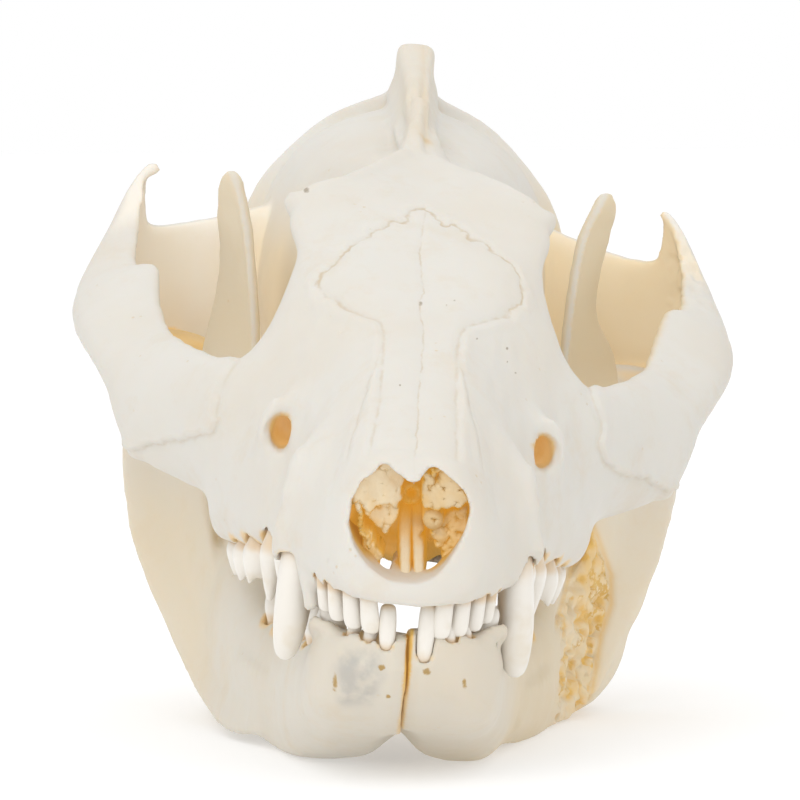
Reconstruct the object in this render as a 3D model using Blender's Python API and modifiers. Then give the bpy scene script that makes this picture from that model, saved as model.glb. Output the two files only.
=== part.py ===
"""Skull of an adult opossum with its lower jaw in place, 46 teeth set in their sockets.

Two frames are used, both in millimetres while a piece is shaped.
The cranium's frame has x to the animal's left, y back from the tip of the upper jaw, and
z up from the plane of the upper tooth sockets. The lower jaw's frame has x out from the
middle plane, y back and z up from the table. Each piece is then placed by an empty.
"""

import math

import bmesh
import bpy
import numpy as np

# Driving dimensions, metres
MM = 0.001
GAP = 0.0003

# How the dry skull lies on its jaw: nose down, and rolled a little to the animal's left
PITCH = math.radians(8.5)
ROLL = math.radians(5.0)
PALATE_HEIGHT = 0.0164
JAW_ROLL = math.radians(4.5)
JAW_OFFSET = -0.0012
JAW_STEP = 0.00025
JAW_SINK = 0.0002
SNOUT_BEND = 0.0009
SNOUT_BEND_LENGTH = 0.030
CENTRE = (-0.00097, -0.0568)

CAVITY_VOXEL = 0.0004
CRANIUM_VOXEL = 0.00055
CRANIUM_KEPT = 0.021
DENTARY_VOXEL = 0.0005
DENTARY_KEPT = 0.020

BONE = (0.83, 0.77, 0.66)
JAW_BONE = (0.80, 0.72, 0.58)
ENAMEL = (0.88, 0.85, 0.78)


def clear_scene():
    for thing in list(bpy.data.objects):
        bpy.data.objects.remove(thing)


def material(name, colour, roughness):
    made = bpy.data.materials.new(name)
    made.use_nodes = True
    shader = made.node_tree.nodes["Principled BSDF"]
    shader.inputs["Base Color"].default_value = (*colour, 1.0)
    shader.inputs["Roughness"].default_value = roughness
    made.diffuse_color = (*colour, 1.0)
    return made


def collection(name):
    made = bpy.data.collections.new(name)
    bpy.context.scene.collection.children.link(made)
    return made


def empty(name, location, rotation, order, group):
    made = bpy.data.objects.new(name, None)
    made.empty_display_size = 0.01
    made.location = location
    made.rotation_mode = order
    made.rotation_euler = rotation
    group.objects.link(made)
    return made


def smooth(at, stations, values):
    """Cubic curve through the values at the stations, with the slope of its neighbours."""
    stations = np.asarray(stations, float)
    values = np.asarray(values, float)
    slopes = np.gradient(values, stations, axis=0)
    at = np.atleast_1d(at)
    low = np.clip(np.searchsorted(stations, at, side="right") - 1, 0, len(stations) - 2)
    step = stations[low + 1] - stations[low]
    t = (at - stations[low]) / step
    shape = (-1,) + (1,) * (values.ndim - 1)
    t = t.reshape(shape)
    step = step.reshape(shape)
    start = values[low] * (1 + 2 * t) * (1 - t) ** 2 + values[low + 1] * (3 - 2 * t) * t**2
    return start + step * t * (1 - t) * (slopes[low] * (1 - t) - slopes[low + 1] * t)


def closed_curve(points, count):
    """Smooth closed curve through the points, as count points evenly spaced in parameter."""
    points = np.asarray(points, float)
    around = len(points)
    t = np.arange(count) * around / count
    low = t.astype(int)
    t = (t - low)[:, None]
    a, b, c, d = (points[(low + k) % around] for k in (-1, 0, 1, 2))
    return 0.5 * (2 * b + (c - a) * t + (2 * a - 5 * b + 4 * c - d) * t**2
                  + (3 * b - a - 3 * c + d) * t**3)


def add_loft(mesh, rings):
    """Closed solid through the rings, each an array of points in order, in millimetres."""
    rows = [[mesh.verts.new(point * MM) for point in ring] for ring in rings]
    count = len(rows[0])
    for lower, upper in zip(rows, rows[1:]):
        for k in range(count):
            mesh.faces.new((lower[k], lower[(k + 1) % count], upper[(k + 1) % count], upper[k]))
    for row, ring, turned in ((rows[0], rings[0], True), (rows[-1], rings[-1], False)):
        middle = mesh.verts.new(np.mean(ring, axis=0) * MM)
        for k in range(count):
            pair = (row[k], row[(k + 1) % count])
            mesh.faces.new((*(pair[::-1] if turned else pair), middle))


def add_ball(mesh, centre, radii, turn=0.0):
    """Ellipsoid, turned about the vertical axis."""
    up = np.radians(np.linspace(-80, 80, 9))
    round_ = np.linspace(0, 2 * math.pi, 20, endpoint=False)
    x = np.cos(up)[:, None] * np.cos(round_) * radii[0]
    y = np.cos(up)[:, None] * np.sin(round_) * radii[1]
    z = np.sin(up)[:, None] * np.ones(20) * radii[2]
    c, s = math.cos(turn), math.sin(turn)
    points = np.stack([x * c - y * s, x * s + y * c, z], axis=-1) + np.asarray(centre, float)
    add_loft(mesh, points)


def add_tube(mesh, path, radii, count=12):
    """Round bar along a path, with a radius at each of its points."""
    path = np.asarray(path, float)
    along = np.gradient(path, axis=0)
    along /= np.linalg.norm(along, axis=1)[:, None]
    side = np.cross(along, (0.13, 0.21, 0.97))
    side /= np.linalg.norm(side, axis=1)[:, None]
    over = np.cross(side, along)
    angle = np.linspace(0, 2 * math.pi, count, endpoint=False)
    rings = path[:, None] + np.asarray(radii, float)[:, None, None] * (
        np.cos(angle)[None, :, None] * side[:, None] + np.sin(angle)[None, :, None] * over[:, None])
    add_loft(mesh, rings)


def add_plate(mesh, low, middle, high, thickness, rows=30, count=16):
    """Plate with round edges between a lower and an upper edge, bowed through a middle line."""
    at = np.linspace(0, 1, rows)
    low, middle, high = (smooth(at, np.linspace(0, 1, len(line)), line)
                         for line in map(np.asarray, (low, middle, high)))
    thick = smooth(at, np.linspace(0, 1, len(thickness)), thickness)
    angle = np.linspace(0, 2 * math.pi, count, endpoint=False)
    v = (0.5 - 0.5 * np.cos(angle))[None, :, None]
    curve = (low[:, None] * (1 - v) ** 2 + high[:, None] * v**2
             + 2 * v * (1 - v) * (2 * middle - 0.5 * (low + high))[:, None])
    along = np.gradient(middle, axis=0)
    across = np.cross(along, high - low)
    across /= np.linalg.norm(across, axis=1)[:, None]
    blunt = np.sign(np.sin(angle)) * np.abs(np.sin(angle)) ** 0.6
    curve += across[:, None] * (blunt[None, :] * thick[:, None])[..., None] * 0.5
    add_loft(mesh, curve)


def bend_snout(mesh):
    """The tip of the snout lies a little to the animal's right of the middle plane."""
    for vert in mesh.verts:
        back = max(0.0, 1 - vert.co.y / SNOUT_BEND_LENGTH)
        vert.co.x -= SNOUT_BEND * min(back, 1.0) ** 1.5


def finish(mesh, name, paint, group, parent=None):
    """Object from the faces built so far, with all of them turned outward."""
    bmesh.ops.recalc_face_normals(mesh, faces=mesh.faces)
    data = bpy.data.meshes.new(name)
    mesh.to_mesh(data)
    mesh.free()
    data.shade_smooth()
    made = bpy.data.objects.new(name, data)
    group.objects.link(made)
    if paint:
        data.materials.append(paint)
    made.parent = parent
    return made


def as_cutter(made):
    made.hide_render = True
    made.display_type = "WIRE"
    return made


def fuse(made, voxel, passes=3):
    """One even skin over all the overlapping solids of the mesh."""
    skin = made.modifiers.new("skin", "REMESH")
    skin.mode = "VOXEL"
    skin.voxel_size = voxel
    even = made.modifiers.new("even", "SMOOTH")
    even.iterations = passes


def thin_out(made, kept):
    """Fewer and larger faces."""
    fewer = made.modifiers.new("fewer", "DECIMATE")
    fewer.ratio = kept


def cut(made, cutter, name):
    step = made.modifiers.new(name, "BOOLEAN")
    step.operation = "DIFFERENCE"
    step.solver = "EXACT"
    step.object = cutter


# Cross-sections of the cranium from the nose back. Each row: y, height of the roof in the
# middle, upper shoulder x z, side x z, lower shoulder x z, height of the underside.
SECTIONS = np.array([
    (0.6, 1.4, 2.0, 1.2, 3.0, 0.8, 2.0, 0.2, 0.0),
    (1.8, 3.9, 3.8, 3.4, 5.6, 2.0, 4.2, 0.2, 0.0),
    (4.4, 12.0, 4.2, 11.2, 7.5, 5.4, 6.8, 0.3, 0.2),
    (8.0, 14.1, 5.2, 13.0, 9.2, 6.4, 8.6, 0.5, 0.6),
    (14.0, 15.6, 5.8, 14.3, 11.4, 5.6, 10.8, 1.2, 1.5),
    (20.0, 17.0, 5.8, 15.7, 11.2, 7.2, 11.0, 0.6, 1.3),
    (27.0, 18.6, 5.8, 17.4, 11.9, 8.0, 12.6, -0.3, 0.8),
    (33.0, 20.0, 6.2, 18.9, 13.9, 9.0, 14.4, -1.7, 0.2),
    (39.0, 21.8, 8.0, 20.4, 16.2, 10.0, 16.0, -3.0, -0.4),
    (44.0, 23.6, 10.0, 22.4, 17.8, 10.5, 17.2, -4.0, -0.8),
    (48.0, 25.2, 11.6, 23.4, 15.2, 10.5, 17.6, -4.5, -1.0),
    (52.0, 26.6, 12.2, 24.8, 9.4, 16.0, 17.0, -4.2, -0.9),
    (57.0, 28.2, 12.8, 26.8, 8.4, 17.0, 14.0, -2.0, -0.2),
    (61.0, 29.2, 11.6, 28.2, 7.8, 17.0, 9.5, 2.0, 1.4),
    (66.0, 30.0, 7.4, 29.0, 6.6, 17.0, 8.0, 4.6, 3.3),
    (72.0, 30.6, 3.4, 29.4, 5.8, 17.5, 7.5, 5.0, 3.2),
    (78.0, 30.2, 3.4, 28.4, 8.0, 18.0, 8.5, 5.0, 3.0),
    (84.0, 29.4, 6.4, 27.2, 11.6, 17.5, 10.0, 5.0, 2.6),
    (90.0, 29.4, 8.6, 26.6, 13.8, 17.0, 12.0, 5.0, 2.4),
    (97.0, 30.0, 10.2, 26.6, 15.0, 17.0, 13.6, 5.0, 2.2),
    (104.0, 30.6, 11.4, 26.6, 15.6, 17.0, 14.2, 5.0, 2.4),
    (109.0, 30.4, 10.6, 25.6, 14.6, 16.0, 12.6, 5.4, 3.4),
    (112.0, 27.5, 7.0, 23.0, 10.5, 14.5, 9.0, 6.0, 4.6),
])

# Sagittal crest: y, height of its edge, half width of the edge, half width of the foot
CREST = np.array([
    (68.0, 29.6, 0.8, 2.4),
    (75.5, 31.0, 0.8, 2.4),
    (85.0, 32.7, 0.9, 2.6),
    (95.0, 34.4, 1.1, 3.0),
    (104.0, 35.8, 1.3, 3.4),
    (110.5, 36.4, 1.6, 3.8),
    (112.4, 35.0, 1.2, 3.0),
])

# Cheek arch: its lower edge, outermost line and upper edge from the face to the braincase
ARCH_LOW = [(15.0, 44.0, -1.0), (20.5, 50.5, -0.2), (25.8, 55.0, 1.2), (27.4, 60.5, 4.0),
            (29.8, 66.5, 6.8), (31.2, 73.0, 7.9), (31.6, 79.0, 8.4), (30.6, 85.0, 8.0),
            (28.0, 90.0, 6.0), (22.0, 95.0, 4.0), (13.0, 98.0, 4.0)]
ARCH_MID = [(16.0, 42.0, 7.0), (21.0, 49.0, 6.8), (25.6, 54.5, 6.6), (28.2, 61.0, 8.2),
            (30.6, 67.5, 10.2), (32.1, 74.0, 11.6), (32.2, 80.0, 12.8), (31.2, 85.5, 14.6),
            (29.4, 90.0, 16.6), (22.5, 95.0, 11.5), (13.0, 98.0, 12.0)]
ARCH_HIGH = [(13.5, 43.0, 16.0), (18.0, 47.5, 13.6), (21.6, 54.5, 12.6), (23.8, 62.0, 12.8),
             (25.0, 69.5, 14.4), (25.6, 75.0, 16.8), (27.6, 80.5, 16.4), (27.8, 85.5, 19.0),
             (27.2, 91.2, 24.2), (22.0, 95.5, 18.4), (13.0, 98.0, 20.5)]
ARCH_THICK = [6.0, 4.6, 3.2, 2.8, 2.8, 2.8, 2.8, 2.8, 2.6, 3.6, 5.0]

# Nuchal crest, from the sagittal crest down to the mastoid region
NUCHAL = [(0.0, 111.2, 32.0), (4.6, 110.6, 30.0), (8.4, 109.6, 28.6), (11.6, 108.2, 26.4), (13.9, 106.8, 23.8),
          (15.6, 105.0, 20.6), (16.6, 103.6, 16.0), (16.6, 104.0, 10.0), (15.2, 106.0, 4.0)]
NUCHAL_RADIUS = [1.6, 1.2, 1.1, 1.1, 1.2, 1.3, 1.5, 1.7, 2.0]


# Swelling of the face over the root of the upper canine
CANINE_ROOT = [(10.9, 13.4, 2.6), (10.4, 14.6, 5.6), (9.6, 17.0, 9.0), (8.0, 21.0, 12.0)]

# Bar of bone on the outer side of the nerve canal's front opening
NERVE_RIM = [(13.0, 32.0, 5.4), (14.5, 32.8, 7.6), (14.6, 33.0, 10.2), (12.8, 32.8, 12.6)]


def section_rings(rows, count):
    """Rings of the main body: a smooth closed curve through eight points of each section."""
    at = np.linspace(0, 1, rows) ** 0.9 * (SECTIONS[-1, 0] - SECTIONS[0, 0]) + SECTIONS[0, 0]
    rings = []
    for y, s in zip(at, smooth(at, SECTIONS[:, 0], SECTIONS[:, 1:])):
        roof, xs, zs, xd, zd, xl, zl, floor = s
        keys = [(0, roof), (xs, zs), (xd, zd), (xl, zl), (0, floor), (-xl, zl), (-xd, zd), (-xs, zs)]
        curve = closed_curve(keys, count)
        rings.append(np.stack([curve[:, 0], np.full(count, y), curve[:, 1]], axis=1))
    return rings


def crest_rings(rows):
    at = np.linspace(CREST[0, 0], CREST[-1, 0], rows)
    rings = []
    for y, (top, edge, foot) in zip(at, smooth(at, CREST[:, 0], CREST[:, 1:])):
        keys = [(0, top), (edge, top - 0.5), (edge + 0.25, top - 2.0), (foot, 28.6), (0, 25.0),
                (-foot, 28.6), (-edge - 0.25, top - 2.0), (-edge, top - 0.5)]
        curve = closed_curve(keys, 16)
        rings.append(np.stack([curve[:, 0], np.full(16, y), curve[:, 1]], axis=1))
    return rings


def build_cranium(paint, group, parent):
    mesh = bmesh.new()
    add_loft(mesh, section_rings(60, 32))
    add_loft(mesh, crest_rings(20))
    for side in (-1, 1):
        flip = np.array([side, 1, 1])
        add_plate(mesh, ARCH_LOW * flip, ARCH_MID * flip, ARCH_HIGH * flip, ARCH_THICK, rows=48)
        add_tube(mesh, NUCHAL * flip, NUCHAL_RADIUS)
        add_tube(mesh, CANINE_ROOT * flip, [2.3, 2.5, 2.4, 1.4])
        add_tube(mesh, NERVE_RIM * flip, [1.3, 1.2, 1.1, 1.3])
        add_ball(mesh, (side * 23.5, 88.5, 5.4), (5.6, 4.0, 2.4), side * 0.15)
        add_ball(mesh, (side * 22.5, 92.0, 4.0), (4.0, 1.6, 3.0))
        add_ball(mesh, (side * 5.6, 112.0, 7.0), (3.0, 3.2, 4.2))
        add_ball(mesh, (side * 9.5, 93.0, 2.8), (3.4, 4.6, 3.0))
        add_tube(mesh, [(side * 14.6, 106.0, 6.0), (side * 14.4, 107.0, 2.0), (side * 14.0, 107.5, -2.0)],
                 [3.0, 2.2, 0.9])
        add_plate(mesh, [(side * 5.4, 57.0, 1.0), (side * 5.2, 66.0, -1.2), (side * 5.0, 74.0, -2.6)],
                  [(side * 5.6, 57.0, 3.0), (side * 5.6, 66.0, 2.4), (side * 5.4, 74.0, 1.6)],
                  [(side * 5.8, 57.0, 6.0), (side * 6.0, 66.0, 6.0), (side * 6.0, 76.0, 6.0)],
                  [1.3, 1.3, 1.3], rows=12)
        add_tube(mesh, [(side * 10.0, 57.6, 25.6), (side * 12.4, 59.6, 27.0), (side * 13.2, 60.6, 27.8)],
                 [2.2, 1.2, 0.6])
    bend_snout(mesh)
    return finish(mesh, "cranium", paint, group, parent)


def cavity_cutter(group, parent):
    """Nasal cavity with the incisive slots, less the septum and the scroll bones, and the
    canals of the face and of the spinal cord."""
    mesh = bmesh.new()
    rings = []
    for y, half, low, high in ((-1.5, 5.0, 3.5, 12.6), (2.0, 5.4, 3.1, 13.0), (5.0, 5.6, 2.8, 12.8),
                               (12.0, 5.8, 2.8, 13.8), (20.0, 5.6, 3.0, 14.8), (26.0, 4.4, 4.4, 15.0)):
        middle = 0.5 * (low + high)
        rise = 0.5 * (high - low)
        keys = [(0, high), (half * 0.72, middle + rise * 0.74), (half, middle), (half * 0.7, middle - rise * 0.78),
                (0, low), (-half * 0.7, middle - rise * 0.78), (-half, middle), (-half * 0.72, middle + rise * 0.74)]
        curve = closed_curve(keys, 16)
        rings.append(np.stack([curve[:, 0], np.full(16, y), curve[:, 1]], axis=1))
    add_loft(mesh, rings)
    for side in (-1, 1):
        add_ball(mesh, (side * 2.5, 12.5, 1.9), (0.9, 5.6, 2.6))
        add_tube(mesh, [(side * 12.2, 26.0, 9.0), (side * 12.4, 30.4, 9.1), (side * 12.0, 35.0, 9.2),
                        (side * 12.4, 42.0, 9.8), (side * 13.0, 50.5, 11.4)], [1.9, 1.9, 1.5, 1.4, 1.8], count=8)
    add_tube(mesh, [(0, 117.0, 10.6), (0, 108.0, 11.0), (0, 99.0, 12.0)], [4.3, 4.2, 2.4])
    bend_snout(mesh)
    cavity = as_cutter(finish(mesh, "cavities", None, group, parent))
    fuse(cavity, CAVITY_VOXEL)
    mesh = bmesh.new()
    add_plate(mesh, [(0, 9.0, 1.0), (0, 28.0, 1.0)], [(0, 9.0, 6.0), (0, 28.0, 6.0)],
              [(0, 9.0, 15.0), (0, 28.0, 15.0)], [1.4, 1.4], rows=3, count=8)
    for side in (-1, 1):
        add_ball(mesh, (side * 4.6, 14.0, 8.4), (2.8, 9.0, 2.6))
    scrolls = as_cutter(finish(mesh, "nose_scrolls", None, group, parent))
    cut(cavity, scrolls, "scrolls")
    return cavity


# Teeth of the upper jaw, one side. Each row: name, kind, x, y, height of the socket rim,
# height of the tip, half width, half length.
UPPER_TEETH = [
    ("incisor_2", "blade", 3.4, 2.7, 0.2, -2.5, 0.72, 0.55),
    ("incisor_3", "blade", 5.1, 3.9, 0.2, -2.4, 0.70, 0.55),
    ("incisor_4", "blade", 6.6, 5.4, 0.3, -2.3, 0.66, 0.58),
    ("incisor_5", "blade", 7.9, 7.3, 0.4, -1.9, 0.58, 0.62),
    ("canine", "fang", 10.8, 13.0, 2.2, -8.2, 1.55, 1.90),
    ("premolar_1", "cone", 10.6, 18.2, 0.8, -1.4, 0.75, 1.10),
    ("premolar_2", "cone", 11.4, 22.7, 0.1, -4.0, 1.10, 2.10),
    ("premolar_3", "cone", 12.5, 28.2, -0.8, -6.0, 1.30, 2.30),
    ("molar_1", "molar", 13.9, 34.2, -2.2, -5.4, 2.10, 2.45),
    ("molar_2", "molar", 14.7, 39.8, -3.5, -6.6, 2.40, 2.45),
    ("molar_3", "molar", 15.1, 45.4, -4.3, -7.4, 2.50, 2.40),
    ("molar_4", "molar", 14.9, 50.0, -4.5, -7.2, 2.30, 1.50),
]

# Teeth of the lower jaw, one side, in the lower jaw's frame
LOWER_TEETH = [
    ("incisor_2", "blade", 1.75, 3.9, 13.4, 16.6, 0.66, 0.62),
    ("incisor_3", "blade", 3.4, 4.8, 13.6, 15.8, 0.60, 0.60),
    ("incisor_4", "blade", 4.9, 6.0, 13.8, 15.6, 0.60, 0.60),
    ("canine", "fang", 6.9, 9.6, 14.2, 17.0, 1.15, 1.40),
    ("premolar_1", "cone", 7.3, 14.2, 13.8, 15.2, 0.75, 1.10),
    ("premolar_2", "cone", 7.8, 19.6, 13.2, 16.2, 1.00, 1.90),
    ("premolar_3", "cone", 8.4, 25.2, 12.4, 16.0, 1.05, 2.00),
    ("molar_1", "molar", 9.2, 31.0, 12.0, 15.0, 1.30, 2.40),
    ("molar_2", "molar", 10.0, 36.6, 11.9, 15.0, 1.35, 2.40),
    ("molar_3", "molar", 10.9, 42.2, 12.0, 15.2, 1.40, 2.40),
    ("molar_4", "molar", 11.9, 47.7, 12.3, 15.4, 1.35, 2.30),
]

# Each kind of tooth as rings: place along the tooth (-1 root tip, 0 rim, 1 crown tip), width,
# length, and how far back the ring lies, all as parts of the tooth's own sizes
TOOTH_RINGS = {
    "blade": [(-1.0, 0.5, 0.6, 0.0), (0.3, 1.0, 1.0, 0.0), (1.0, 0.55, 0.4, 0.0)],
    "fang": [(-1.0, 0.6, 0.6, 1.1), (0.0, 1.0, 1.0, 0.0), (0.6, 0.88, 0.75, -0.1), (1.0, 0.4, 0.3, 0.1)],
    "cone": [(-1.0, 0.5, 0.55, 0.0), (0.2, 1.0, 1.0, 0.0), (1.0, 0.25, 0.2, -0.1)],
    "molar": [(-1.0, 0.5, 0.5, 0.0), (0.3, 1.0, 0.95, 0.0), (1.0, 0.8, 0.75, 0.0), (0.75, 0.35, 0.35, 0.0)],
}
SIDES_AROUND = {"blade": 6, "fang": 8, "cone": 6, "molar": 8}
ROOT_LENGTH = {"blade": 2.2, "fang": 5.0, "cone": 2.0, "molar": 2.0}
FANG_LEAN = 1.0


def add_tooth(mesh, row, side, grow=0.0):
    """Root and crown of one tooth, or with grow its socket, larger all round."""
    _, kind, x, y, rim, tip, half_x, half_y = row
    around = SIDES_AROUND[kind]
    angle = np.linspace(0, 2 * math.pi, around, endpoint=False) + math.pi / around
    crown = tip - rim
    root = -math.copysign(ROOT_LENGTH[kind], crown)
    rings = []
    for place, wide, long, back in TOOTH_RINGS[kind]:
        z = rim + (crown * place if place >= 0 else -root * place)
        if grow and place in (-1.0, 1.0):
            z += math.copysign(grow, crown * place)
        if grow and kind == "molar" and place == 0.75:
            z = tip + math.copysign(grow, crown)
        lean = FANG_LEAN if kind == "fang" and place < 0 else 0.0
        ring = np.zeros((around, 3))
        ring[:, 0] = side * (x - lean) + (half_x * wide + grow) * np.cos(angle)
        ring[:, 1] = y + half_y * back + (half_y * long + grow) * np.sin(angle)
        ring[:, 2] = z
        rings.append(ring)
    add_loft(mesh, rings)


def build_teeth(jaw, rows, side, paint, group, parent, snout):
    name_side = "left" if side > 0 else "right"
    for row in rows:
        mesh = bmesh.new()
        add_tooth(mesh, row, side)
        if snout:
            bend_snout(mesh)
        finish(mesh, f"{jaw}_{row[0]}_{name_side}", paint, group, parent)


def socket_cutter(name, rows, sides, group, parent, snout):
    mesh = bmesh.new()
    for side in sides:
        for row in rows:
            add_tooth(mesh, row, side, GAP / MM)
    if snout:
        bend_snout(mesh)
    return as_cutter(finish(mesh, name, None, group, parent))


# Body of one half of the lower jaw: y, inner x, outer x, top, bottom, roundness of the inner
# side, which is flat (0.2) where the two halves meet at the chin
JAW_BODY = np.array([
    (2.4, 0.2, 3.2, 13.4, 11.4, 0.5),
    (4.0, 0.2, 5.4, 14.0, 9.6, 0.3),
    (7.0, 0.2, 7.4, 14.4, 7.0, 0.2),
    (12.0, 0.2, 8.9, 14.8, 4.8, 0.2),
    (18.0, 0.2, 9.6, 13.8, 3.0, 0.2),
    (24.0, 0.5, 10.4, 12.9, 1.4, 0.4),
    (30.0, 2.2, 11.3, 12.4, 0.1, 0.7),
    (36.0, 4.2, 12.2, 12.2, -0.3, 0.8),
    (43.0, 6.2, 13.5, 12.2, 0.0, 0.8),
    (50.0, 8.2, 15.1, 12.6, 0.5, 0.8),
    (58.0, 10.2, 17.0, 14.0, 0.8, 0.8),
    (66.0, 12.0, 18.4, 16.5, 0.8, 0.8),
    (74.0, 13.6, 19.2, 18.0, 0.3, 0.8),
    (80.0, 15.0, 19.4, 18.0, 1.2, 0.8),
    (84.5, 16.6, 19.0, 16.0, 4.0, 0.8),
])

# Coronoid process: height, x and y of its front edge, x and y of its back edge, thickness
CORONOID = np.array([
    (9.0, 14.4, 62.0, 17.6, 83.5, 3.4),
    (16.0, 14.5, 65.0, 18.4, 84.5, 3.0),
    (22.0, 14.8, 67.5, 19.2, 84.0, 2.4),
    (28.0, 15.1, 69.0, 19.7, 82.5, 2.1),
    (35.0, 15.7, 70.5, 20.0, 81.0, 1.9),
    (42.0, 16.4, 72.0, 20.1, 80.0, 1.8),
    (48.0, 17.2, 73.6, 20.1, 79.4, 1.7),
    (52.0, 18.1, 75.2, 19.9, 79.0, 1.5),
    (54.6, 18.9, 77.0, 19.6, 78.6, 1.0),
])

# Outer shelf of the jaw: outer edge, middle and inner edge from the condyle to the body
SHELF_OUT = [(28.6, 84.5, 28.0), (28.3, 84.5, 25.0), (27.7, 84.2, 21.0), (26.5, 83.2, 16.2),
             (24.2, 81.0, 11.6), (21.6, 77.5, 7.4), (19.0, 71.0, 4.2), (16.2, 62.0, 2.4)]
SHELF_MID = [(23.5, 86.0, 27.5), (23.2, 86.2, 24.0), (22.8, 85.6, 20.0), (22.0, 84.0, 14.8),
             (20.6, 81.5, 10.0), (19.0, 77.6, 5.6), (17.4, 71.0, 3.0), (15.0, 62.0, 1.6)]
SHELF_IN = [(18.5, 86.5, 26.0), (18.3, 86.0, 22.5), (18.0, 85.0, 18.5), (17.6, 83.5, 13.0),
            (17.2, 81.0, 8.0), (16.6, 77.0, 4.0), (15.6, 71.0, 2.0), (13.4, 62.0, 1.4)]

# Height of the in-turned heel of each half, lower on the animal's right so that both rest
HEEL_HEIGHT = {-1: 0.6, 1: 1.8}

# Swelling of healed bone along the outer edge of the left half
SWELLING = [(25.6, 84.6, 19.0), (24.6, 83.4, 14.0), (22.4, 82.0, 10.4), (20.8, 80.0, 7.0), (18.6, 76.6, 4.2),
            (16.0, 72.0, 3.4)]


def jaw_rings(rows, count):
    """Rings of the jaw's body: rounded boxes with the chin side kept off the middle plane."""
    at = np.linspace(JAW_BODY[0, 0], JAW_BODY[-1, 0], rows)
    angle = np.linspace(0, 2 * math.pi, count, endpoint=False)
    c, s = np.cos(angle), np.sin(angle)
    rings = []
    for y, (inner, outer, top, low, soft) in zip(at, smooth(at, JAW_BODY[:, 0], JAW_BODY[:, 1:])):
        soft = np.where(c < 0, soft, 0.8)
        wide = np.sign(c) * np.abs(c) ** soft
        tall = np.sign(s) * np.abs(s) ** soft
        across = 0.5 * (outer + inner) + 0.5 * (outer - inner) * wide
        up = 0.5 * (top + low) + 0.5 * (top - low) * tall
        rings.append(np.stack([np.maximum(across, 0.2), np.full(count, y), up], axis=1))
    return rings


def coronoid_rings(rows, count):
    at = np.linspace(CORONOID[0, 0], CORONOID[-1, 0], rows)
    angle = np.linspace(0, 2 * math.pi, count, endpoint=False)
    rings = []
    for z, (xf, yf, xb, yb, thick) in zip(at, smooth(at, CORONOID[:, 0], CORONOID[:, 1:])):
        along = np.array([xb - xf, yb - yf])
        across = np.array([-along[1], along[0]]) / np.linalg.norm(along)
        flat = (np.array([xf + xb, yf + yb]) / 2 - np.cos(angle)[:, None] * along / 2
                + np.sin(angle)[:, None] * across * thick / 2)
        rings.append(np.column_stack([flat, np.full(count, z)]))
    return rings


def build_dentary(side, paint, group, parent):
    mesh = bmesh.new()
    add_loft(mesh, jaw_rings(46, 24))
    add_loft(mesh, coronoid_rings(26, 20))
    add_plate(mesh, SHELF_OUT, SHELF_MID, SHELF_IN, [2.0] * len(SHELF_OUT), rows=32)
    add_ball(mesh, (23.4, 85.6, 29.0), (5.6, 2.6, 2.0))
    heel = HEEL_HEIGHT[side]
    add_ball(mesh, (13.2, 80.0, heel), (5.6, 9.0, 1.8))
    add_tube(mesh, [(11.4, 84.0, heel + 0.2), (9.8, 89.0, heel + 1.0), (8.8, 92.5, heel + 2.6)], [2.2, 1.5, 0.7])
    if side > 0:
        add_tube(mesh, SWELLING, [1.0, 2.0, 2.7, 3.3, 3.0, 1.5])
    for vert in mesh.verts:
        vert.co.x *= side
    made = finish(mesh, f"dentary_{'left' if side > 0 else 'right'}", paint, group, parent)
    fuse(made, DENTARY_VOXEL)
    thin_out(made, DENTARY_KEPT)
    return made


def table_cutter(group):
    """Block below the table, which leaves the undersides of the jaw flat where they rest."""
    mesh = bmesh.new()
    bmesh.ops.create_cube(mesh, size=1.0)
    bmesh.ops.scale(mesh, vec=(0.1, 0.16, 0.01), verts=mesh.verts)
    made = finish(mesh, "table_cut", None, group)
    made.location = (0.0, 0.0, -0.005)
    return as_cutter(made)


def build_all():
    clear_scene()
    group = collection("opossum_skull")
    cutters = collection("cutters")
    bone = material("bone", BONE, 0.55)
    jaw_bone = material("jaw_bone", JAW_BONE, 0.55)
    enamel = material("enamel", ENAMEL, 0.3)
    head = empty("cranium_frame", (CENTRE[0], CENTRE[1], PALATE_HEIGHT), (PITCH, ROLL, 0.0), "YXZ", group)
    cranium = build_cranium(bone, group, head)
    fuse(cranium, CRANIUM_VOXEL, 1)
    cut(cranium, cavity_cutter(cutters, head), "cavities")
    fuse(cranium, CRANIUM_VOXEL, 3)
    thin_out(cranium, CRANIUM_KEPT)
    sockets = socket_cutter("upper_sockets", UPPER_TEETH, (-1, 1), cutters, head, True)
    cut(cranium, sockets, "sockets")
    table = table_cutter(cutters)
    for side in (-1, 1):
        name = "left" if side > 0 else "right"
        place = (CENTRE[0] + JAW_OFFSET, CENTRE[1], side * JAW_STEP - JAW_SINK)
        jaw = empty(f"jaw_frame_{name}", place, (0.0, JAW_ROLL, 0.0), "XYZ", group)
        dentary = build_dentary(side, jaw_bone, group, jaw)
        cut(dentary, table, "rest")
        sockets = socket_cutter(f"lower_sockets_{name}", LOWER_TEETH, (side,), cutters, jaw, False)
        cut(dentary, sockets, "sockets")
        build_teeth("upper", UPPER_TEETH, side, enamel, group, head, True)
        build_teeth("lower", LOWER_TEETH, side, enamel, group, jaw, False)


build_all()
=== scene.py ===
# %% [markdown]
# # A dry opossum skull, resting on its own lower jaw
#
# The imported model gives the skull, the two halves of the jaw and the teeth at their real size.
# This lesson gives each of them its finished surface. The shapes are worked out with numpy:
# cross-sections carried back from the nose, bars and plates carried along curves, and teeth
# built as rings. Small relief is then added to the fine mesh by formula.

import math

import bpy
import numpy as np
from mathutils import Euler, Matrix, Vector


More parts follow.
